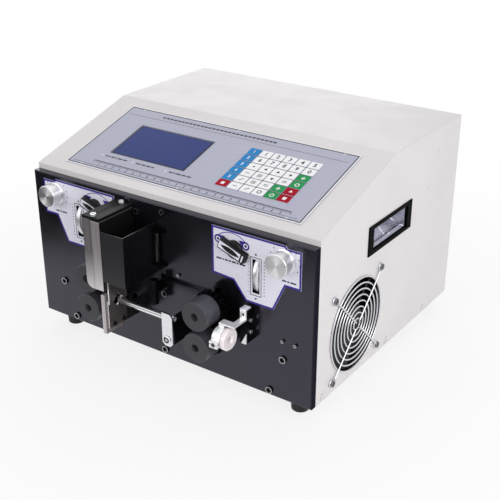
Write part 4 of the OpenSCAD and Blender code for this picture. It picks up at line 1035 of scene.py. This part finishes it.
LCD_RIM, LCD_LINE = 1.2, 1.0
LAMP_U, LAMP_R = (-133, -84, -33), 1.7
LAMP_S = LCD_S - LCD_L / 2 - 8.5
CAPTION_U, CAPTION_H = (5, 34), 2.2
STUD_U, STUD_IN, STUD_R = (-148, 2, 151), 4.5, 1.5


def panel_box(inside):
    """The overlay's outline, moved inwards."""
    half = OVER_W / 2
    return rectangle(-half + inside, OVER_S + inside, half - inside, OVER_S + OVER_L - inside)


def panel_lines():
    """Border, title rule, ruler, captions and the frame of the display."""
    lift = OVER_T + FILM
    # Painted highlight: a white line round the overlay's edge stands for the light that the film's edge
    # catches.
    rim = Print("panel_rim", PANEL, lift, "white")
    rim.outline(panel_box(PANEL_RIM_IN), PANEL_RIM)
    rim.done()
    lines = Print("panel_lines", PANEL, lift, "overlay_line")
    lines.outline(panel_box(BORDER_IN), BORDER_LINE)
    lines.rect(0, TITLE_S - RULE_DROP, OVER_W - RULE_ENDS, RULE_LINE)
    ruler(lines)
    lines.rect(0, OVER_S + RULE_UP, OVER_W - RULE_ENDS, RULE_LINE)
    du, dv = LCD_W / 2 + LCD_RIM, LCD_L / 2 + LCD_RIM
    lines.outline(rectangle(LCD_X - du, LCD_S - dv, LCD_X + du, LCD_S + dv), LCD_LINE)
    dashes(lines, *TITLE_U, TITLE_S, TITLE_H, 5)
    for k, u in enumerate(LAMP_U):
        dashes(lines, u + CAPTION_U[0], u + CAPTION_U[1], LAMP_S, CAPTION_H, k)
    lines.done()
    dots = Print("panel_lamps", PANEL, lift + FILM, "lamp")
    for u in LAMP_U:
        dots.disc(u, LAMP_S, LAMP_R)
    for u in STUD_U:
        for v in (OVER_S + STUD_IN, OVER_S + OVER_L - STUD_IN):
            dots.disc(u, v, STUD_R)
    dots.done()


def ruler(lines):
    """Ruled line with ticks, and a digit under each long one."""
    lines.rect((RULER_U0 + RULER_U1) / 2, RULER_S, RULER_U1 - RULER_U0, RULER_LINE)
    ticks = round((RULER_U1 - RULER_U0) / TICK_STEP)
    for i in range(ticks + 1):
        u = RULER_U0 + i * TICK_STEP
        tall = TICK_LONG if i % TICK_MAJOR == 0 else TICK_SHORT
        lines.rect(u, RULER_S - RULER_LINE / 2 - tall / 2, TICK_LINE, tall)
        if i % TICK_MAJOR == 0 and 0 < i < ticks:
            digit = str(i // TICK_MAJOR % 10)
            lines.text(digit, u, RULER_S - TICK_LONG - TICK_DIGIT_DROP, TICK_DIGIT)


KEY_ROWS = ["bwwwww", "bwwwww", "bwwwwg", "bwwwwg", "bwwwgr", "rwwwgr"]
KEY_INK = {"b": "key_blue", "w": "key_white", "g": "key_green", "r": "key_red"}
KEY_SIGNS = ["112345", "267890", "3.<^>+", "4-:v=o", "5/:=+^", "s-/oos"]
ARROWS = {"<": math.pi, ">": 0.0, "^": math.pi / 2, "v": -math.pi / 2}
CAP_LIFT, CAP_T, CAP_IN, CAP_CORNER = 0.12, 0.14, 0.2, 0.8
MARK_LIFT, MARK_T = 0.2, 0.05
DIGIT_ON_WHITE, DIGIT_ON_COLOUR = 8.6, 7.0


def key_sign(printed, mark, u, v):
    """A plain sign on a key: arrow, plus, minus, dot, ring, square or strokes."""
    if mark in ARROWS:
        printed.disc(u, v, 2.8, 3, ARROWS[mark])
    elif mark == "+":
        printed.rect(u, v, 5.6, 1.2)
        printed.rect(u, v + 1.7, 1.2, 2.2)
        printed.rect(u, v - 1.7, 1.2, 2.2)
    elif mark in "-=:":
        rows = {"-": (0,), "=": (-1.2, 1.2), ":": (-1.9, 0, 1.9)}[mark]
        for dv in rows:
            printed.rect(u, v + dv, 6.0, 0.9)
    elif mark == "/":
        printed.rect(u, v, 6.5, 1.1, math.radians(40))
    elif mark == "o":
        printed.band(u, v, 1.9, 3.0, steps=20)
    elif mark == "s":
        printed.rect(u, v, 4.6, 4.6)
    else:
        printed.disc(u, v, 1.3)


def panel_keys():
    """Key caps in their colours, with digits and plain signs."""
    lift = OVER_T + KEY_H
    caps = {}
    for code, ink_name in KEY_INK.items():
        name = f"key_caps_{ink_name[4:]}"
        caps[code] = Print(name, PANEL, lift + CAP_LIFT, ink_name, thick=CAP_T)
    dark = Print("key_marks_dark", PANEL, lift + MARK_LIFT, "key_ink", thick=MARK_T)
    light = Print("key_marks_light", PANEL, lift + MARK_LIFT, "white", thick=MARK_T)
    inside = KEY_GAP + CAP_IN
    for j, row in enumerate(KEY_ROWS):
        for i, code in enumerate(row):
            u = KEY_X + i * KEY_PX
            v = KEY_S + (len(KEY_ROWS) - 1 - j) * KEY_PS
            caps[code].poly(rounded(u, v, KEY_PX - inside, KEY_PS - inside, CAP_CORNER))
            mark = KEY_SIGNS[j][i]
            marks = dark if code == "w" else light
            if mark.isdigit():
                marks.text(mark, u, v, DIGIT_ON_WHITE if code == "w" else DIGIT_ON_COLOUR)
            else:
                key_sign(marks, mark, u, v)
    for printed in (*caps.values(), dark, light):
        printed.done()


def key_gaps():
    """Dark strips between the keys, unbroken along the rows."""
    gaps = Print("key_gaps", PANEL, OVER_T + FILM, "key_gap")
    wide = KEY_GAP - 0.1
    columns, rows = len(KEY_ROWS[0]), len(KEY_ROWS)
    middle = KEY_X + (columns - 1) / 2 * KEY_PX
    for j in range(1, rows):
        gaps.rect(middle, KEY_S + (j - 0.5) * KEY_PS, columns * KEY_PX - KEY_GAP, wide)
    for j in range(rows):
        for i in range(1, columns):
            gaps.rect(KEY_X + (i - 0.5) * KEY_PX, KEY_S + j * KEY_PS, wide, KEY_PS - wide)
    gaps.done()


panel_lines()
panel_keys()
key_gaps()


# Small screw heads that the photograph shows on the case, and their like on the back
HEAD_SIDES = 24
HEAD_PROFILE = [(1.0, 0.0), (1.0, 0.45), (0.8, 0.85), (0.35, 1.0)]
HEAD_SUNK = 0.2
CASE_HEADS = ((256, 179), (279, 221))
CASE_HEAD_R, CASE_HEAD_H = 2.6, 1.2
BACK_HEAD_R, BACK_HEAD_H, BACK_HEAD_IN = 3.4, 1.9, 9
BACK_SLOT_LIFT, BACK_SLOT_L, BACK_SLOT_W = 1.76, 3.4, 0.7
FAN_SLOT_L, FAN_SLOT_W = 1.6, 0.5


def heads(name, spots, axis, r, h, key):
    """Low domed screw heads on one face, as one piece."""
    bm = bmesh.new()
    rings = [(r * across, h * up) for across, up in HEAD_PROFILE]
    turn = Vector((0, 0, 1)).rotation_difference(Vector(axis)).to_matrix().to_4x4()
    steps = [k * math.tau / HEAD_SIDES for k in range(HEAD_SIDES)]
    for spot in spots:
        place = Matrix.Translation(spot) @ turn
        loops = [
            [bm.verts.new(place @ (Vector((q * math.cos(a), q * math.sin(a), z)) * MM)) for a in steps]
            for q, z in rings
        ]
        skin(bm, loops)
    mesh_piece(name, bm, key)


def case_heads():
    """Painted heads high on both sides."""
    lo, hi = (Vector(v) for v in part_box("case_cover"))
    for name, x, way in (("right", hi.x, 1), ("left", lo.x, -1)):
        spots = [at(0, -PLATE_T - back, h) for back, h in CASE_HEADS]
        for spot in spots:
            spot.x = x - way * HEAD_SUNK * MM
        heads(f"case_heads_{name}", spots, (way, 0, 0), CASE_HEAD_R, CASE_HEAD_H, "case")


def back_heads():
    """Cross-head screws round the back panel."""
    lo, hi = (Vector(v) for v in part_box("back_panel"))
    inside = BACK_HEAD_IN * MM
    columns = [lo.x + inside, (lo.x + hi.x) / 2, hi.x - inside]
    rows = [lo.z + inside, hi.z - inside]
    spots = [Vector((x, hi.y - HEAD_SUNK * MM, z)) for x in columns for z in rows]
    heads("back_heads", spots, (0, 1, 0), BACK_HEAD_R, BACK_HEAD_H, "screw")
    rear = Plane((MID_X, hi.y, FLOOR_Z), (-1, 0, 0), (0, 0, 1))
    # Painted shade: each cross recess is a flat dark cross on the head.
    slots = Print("back_head_slots", rear, BACK_SLOT_LIFT, "oxide")
    for spot in spots:
        u, v = (MID_X - spot.x) / MM, (spot.z - FLOOR_Z) / MM
        cross(slots, u, v, BACK_SLOT_L, BACK_SLOT_W)
    slots.done()


def fan_screw_slots():
    """Cross recesses of the fan's screws, as flat dark crosses of painted shade."""
    spots = [box for box in islands(NODES["case_screws"]) if box[0].z > FLOOR_Z + FAN_SCREW_H * MM]
    side_x = max(hi.x for lo, hi in spots)
    wall = Plane((side_x, FACE_Y, FLOOR_Z), (0, 1, 0), (0, 0, 1))
    slots = Print("fan_screw_slots", wall, INK_T, "key_ink")
    for lo, hi in spots:
        middle = (lo + hi) / 2 - wall.origin
        r = (hi.z - lo.z) / 2 / MM
        cross(slots, middle.y / MM, middle.z / MM, r * FAN_SLOT_L, r * FAN_SLOT_W)
    slots.done()


case_heads()
back_heads()
fan_screw_slots()


# Studio, in metres: the table's front edge, the share of plain white on the floor near and far, the lamps
TABLE_OUT, TABLE_SKEW, TABLE_SOFT = 0.322, 0.44, 0.06
FLOOR_SHARE = (0.80, 1.0)
FLOOR_NEAR, FLOOR_FAR, FLOOR_HALF = 0.3, 0.7, 4.0
WORLD_GREY = (0.50, 0.50, 0.51, 1)
LAMPS = (
    ("key", (1.8, -0.7, 1.05), (1.3, 1.3), 18),
    ("front", (-0.6, -1.75, 0.6), (1.4, 0.9), 10),
    ("top", (-0.1, 0.3, 1.9), (1.6, 1.2), 3.5),
    ("back", (-1.3, 1.7, 0.9), (1.4, 1.0), 9),
)
LAMP_AIM = Vector((0, 0, 0.12))

# The photograph's camera: focal length and frame in pixels, axes, and place in millimetres
FOCAL_PX, FRAME_PX, SENSOR = 942, 500, 36
CAMERA_RIGHT = (0.8189, 0.574, 0.0)
CAMERA_FORWARD = (-0.5191, 0.7406, -0.4267)
CAMERA_AT = (646.2, 756.0 - PLATE_T, 604.6)


def floor_material():
    """White with a faint shadow; in reflections, a white table that ends in front of the machine."""
    s = Shader("floor_white", "#f4f4f4", 0.9)
    s.tint(s.ramp(s.noise(2.0, 2.0), 0, 1), 0.99, 1.01)
    out = s.math("SUBTRACT", FACE_Y, s.axis("Y"))
    across = s.math("SUBTRACT", s.axis("X"), MID_X)
    edge = s.math("SUBTRACT", out, s.math("MULTIPLY", across, TABLE_SKEW))
    beyond = s.ramp(edge, 0, 1, TABLE_OUT - TABLE_SOFT, TABLE_OUT + TABLE_SOFT)
    s.other(beyond, "#2a2a2c", 0.9, 0.0)
    far = s.node("ShaderNodeVectorMath", operation="LENGTH")
    s.link(s.place(), far.inputs[0])
    share = s.ramp(far.outputs["Value"], *FLOOR_SHARE, FLOOR_NEAR, FLOOR_FAR)
    path = s.node("ShaderNodeLightPath")
    emit = s.node("ShaderNodeEmission")
    emit.inputs["Color"].default_value = (1, 1, 1, 1)
    blend = s.node("ShaderNodeMixShader")
    mirrored = s.math("MAXIMUM", path.outputs["Is Glossy Ray"], path.outputs["Is Transmission Ray"])
    mirrored = s.math("MULTIPLY", mirrored, s.math("SUBTRACT", 1.0, beyond))
    seen = s.math("MAXIMUM", path.outputs["Is Camera Ray"], mirrored)
    s.link(s.math("MULTIPLY", seen, share), blend.inputs["Fac"])
    s.link(s.bsdf.outputs["BSDF"], blend.inputs[1])
    s.link(emit.outputs["Emission"], blend.inputs[2])
    s.link(blend.outputs["Shader"], s.tree.nodes["Material Output"].inputs["Surface"])
    return s.mat


def studio():
    scene = bpy.context.scene
    scene.view_settings.view_transform = "Standard"
    world = bpy.data.worlds.new("studio")
    scene.world = world
    world.use_nodes = True
    nodes, links = world.node_tree.nodes, world.node_tree.links
    path = nodes.new("ShaderNodeLightPath")
    mix = nodes.new("ShaderNodeMix")
    mix.data_type = "RGBA"
    mix.inputs["A"].default_value = WORLD_GREY
    mix.inputs["B"].default_value = (1, 1, 1, 1)
    seen = path.outputs["Is Camera Ray"]
    for kind in ("Is Glossy Ray", "Is Transmission Ray"):
        either = nodes.new("ShaderNodeMath")
        either.operation = "MAXIMUM"
        links.new(seen, either.inputs[0])
        links.new(path.outputs[kind], either.inputs[1])
        seen = either.outputs["Value"]
    links.new(seen, mix.inputs["Factor"])
    links.new(mix.outputs["Result"], nodes["Background"].inputs["Color"])

    floor_mesh = bpy.data.meshes.new("floor")
    corners = [(u, v, 0) for u, v in rectangle(-FLOOR_HALF, -FLOOR_HALF, FLOOR_HALF, FLOOR_HALF)]
    floor_mesh.from_pydata(corners, [], [(0, 1, 2, 3)])
    floor = bpy.data.objects.new("floor", floor_mesh)
    scene.collection.objects.link(floor)
    floor_mesh.materials.append(floor_material())

    for lamp in LAMPS:
        area(*lamp)


def area(name, where, size, power):
    """A soft rectangular lamp aimed at the machine."""
    light = bpy.data.lights.new(name, "AREA")
    light.shape = "RECTANGLE"
    light.size, light.size_y = size
    light.energy = power
    obj = bpy.data.objects.new(name, light)
    obj.location = where
    obj.rotation_euler = (LAMP_AIM - Vector(where)).to_track_quat("-Z", "Y").to_euler()
    bpy.context.scene.collection.objects.link(obj)


def camera():
    """The photograph's camera, as solved from the case's straight edges."""
    data = bpy.data.cameras.new("camera")
    data.sensor_width = SENSOR
    data.lens = FOCAL_PX / FRAME_PX * SENSOR
    data.clip_start = 0.05
    obj = bpy.data.objects.new("camera", data)
    right = Vector(CAMERA_RIGHT).normalized()
    forward = Vector(CAMERA_FORWARD).normalized()
    up = right.cross(forward).normalized()
    turn = Matrix((right, up, -forward)).transposed().to_4x4()
    obj.matrix_world = Matrix.Translation(at(*CAMERA_AT)) @ turn
    bpy.context.scene.collection.objects.link(obj)
    bpy.context.scene.camera = obj


studio()
camera()
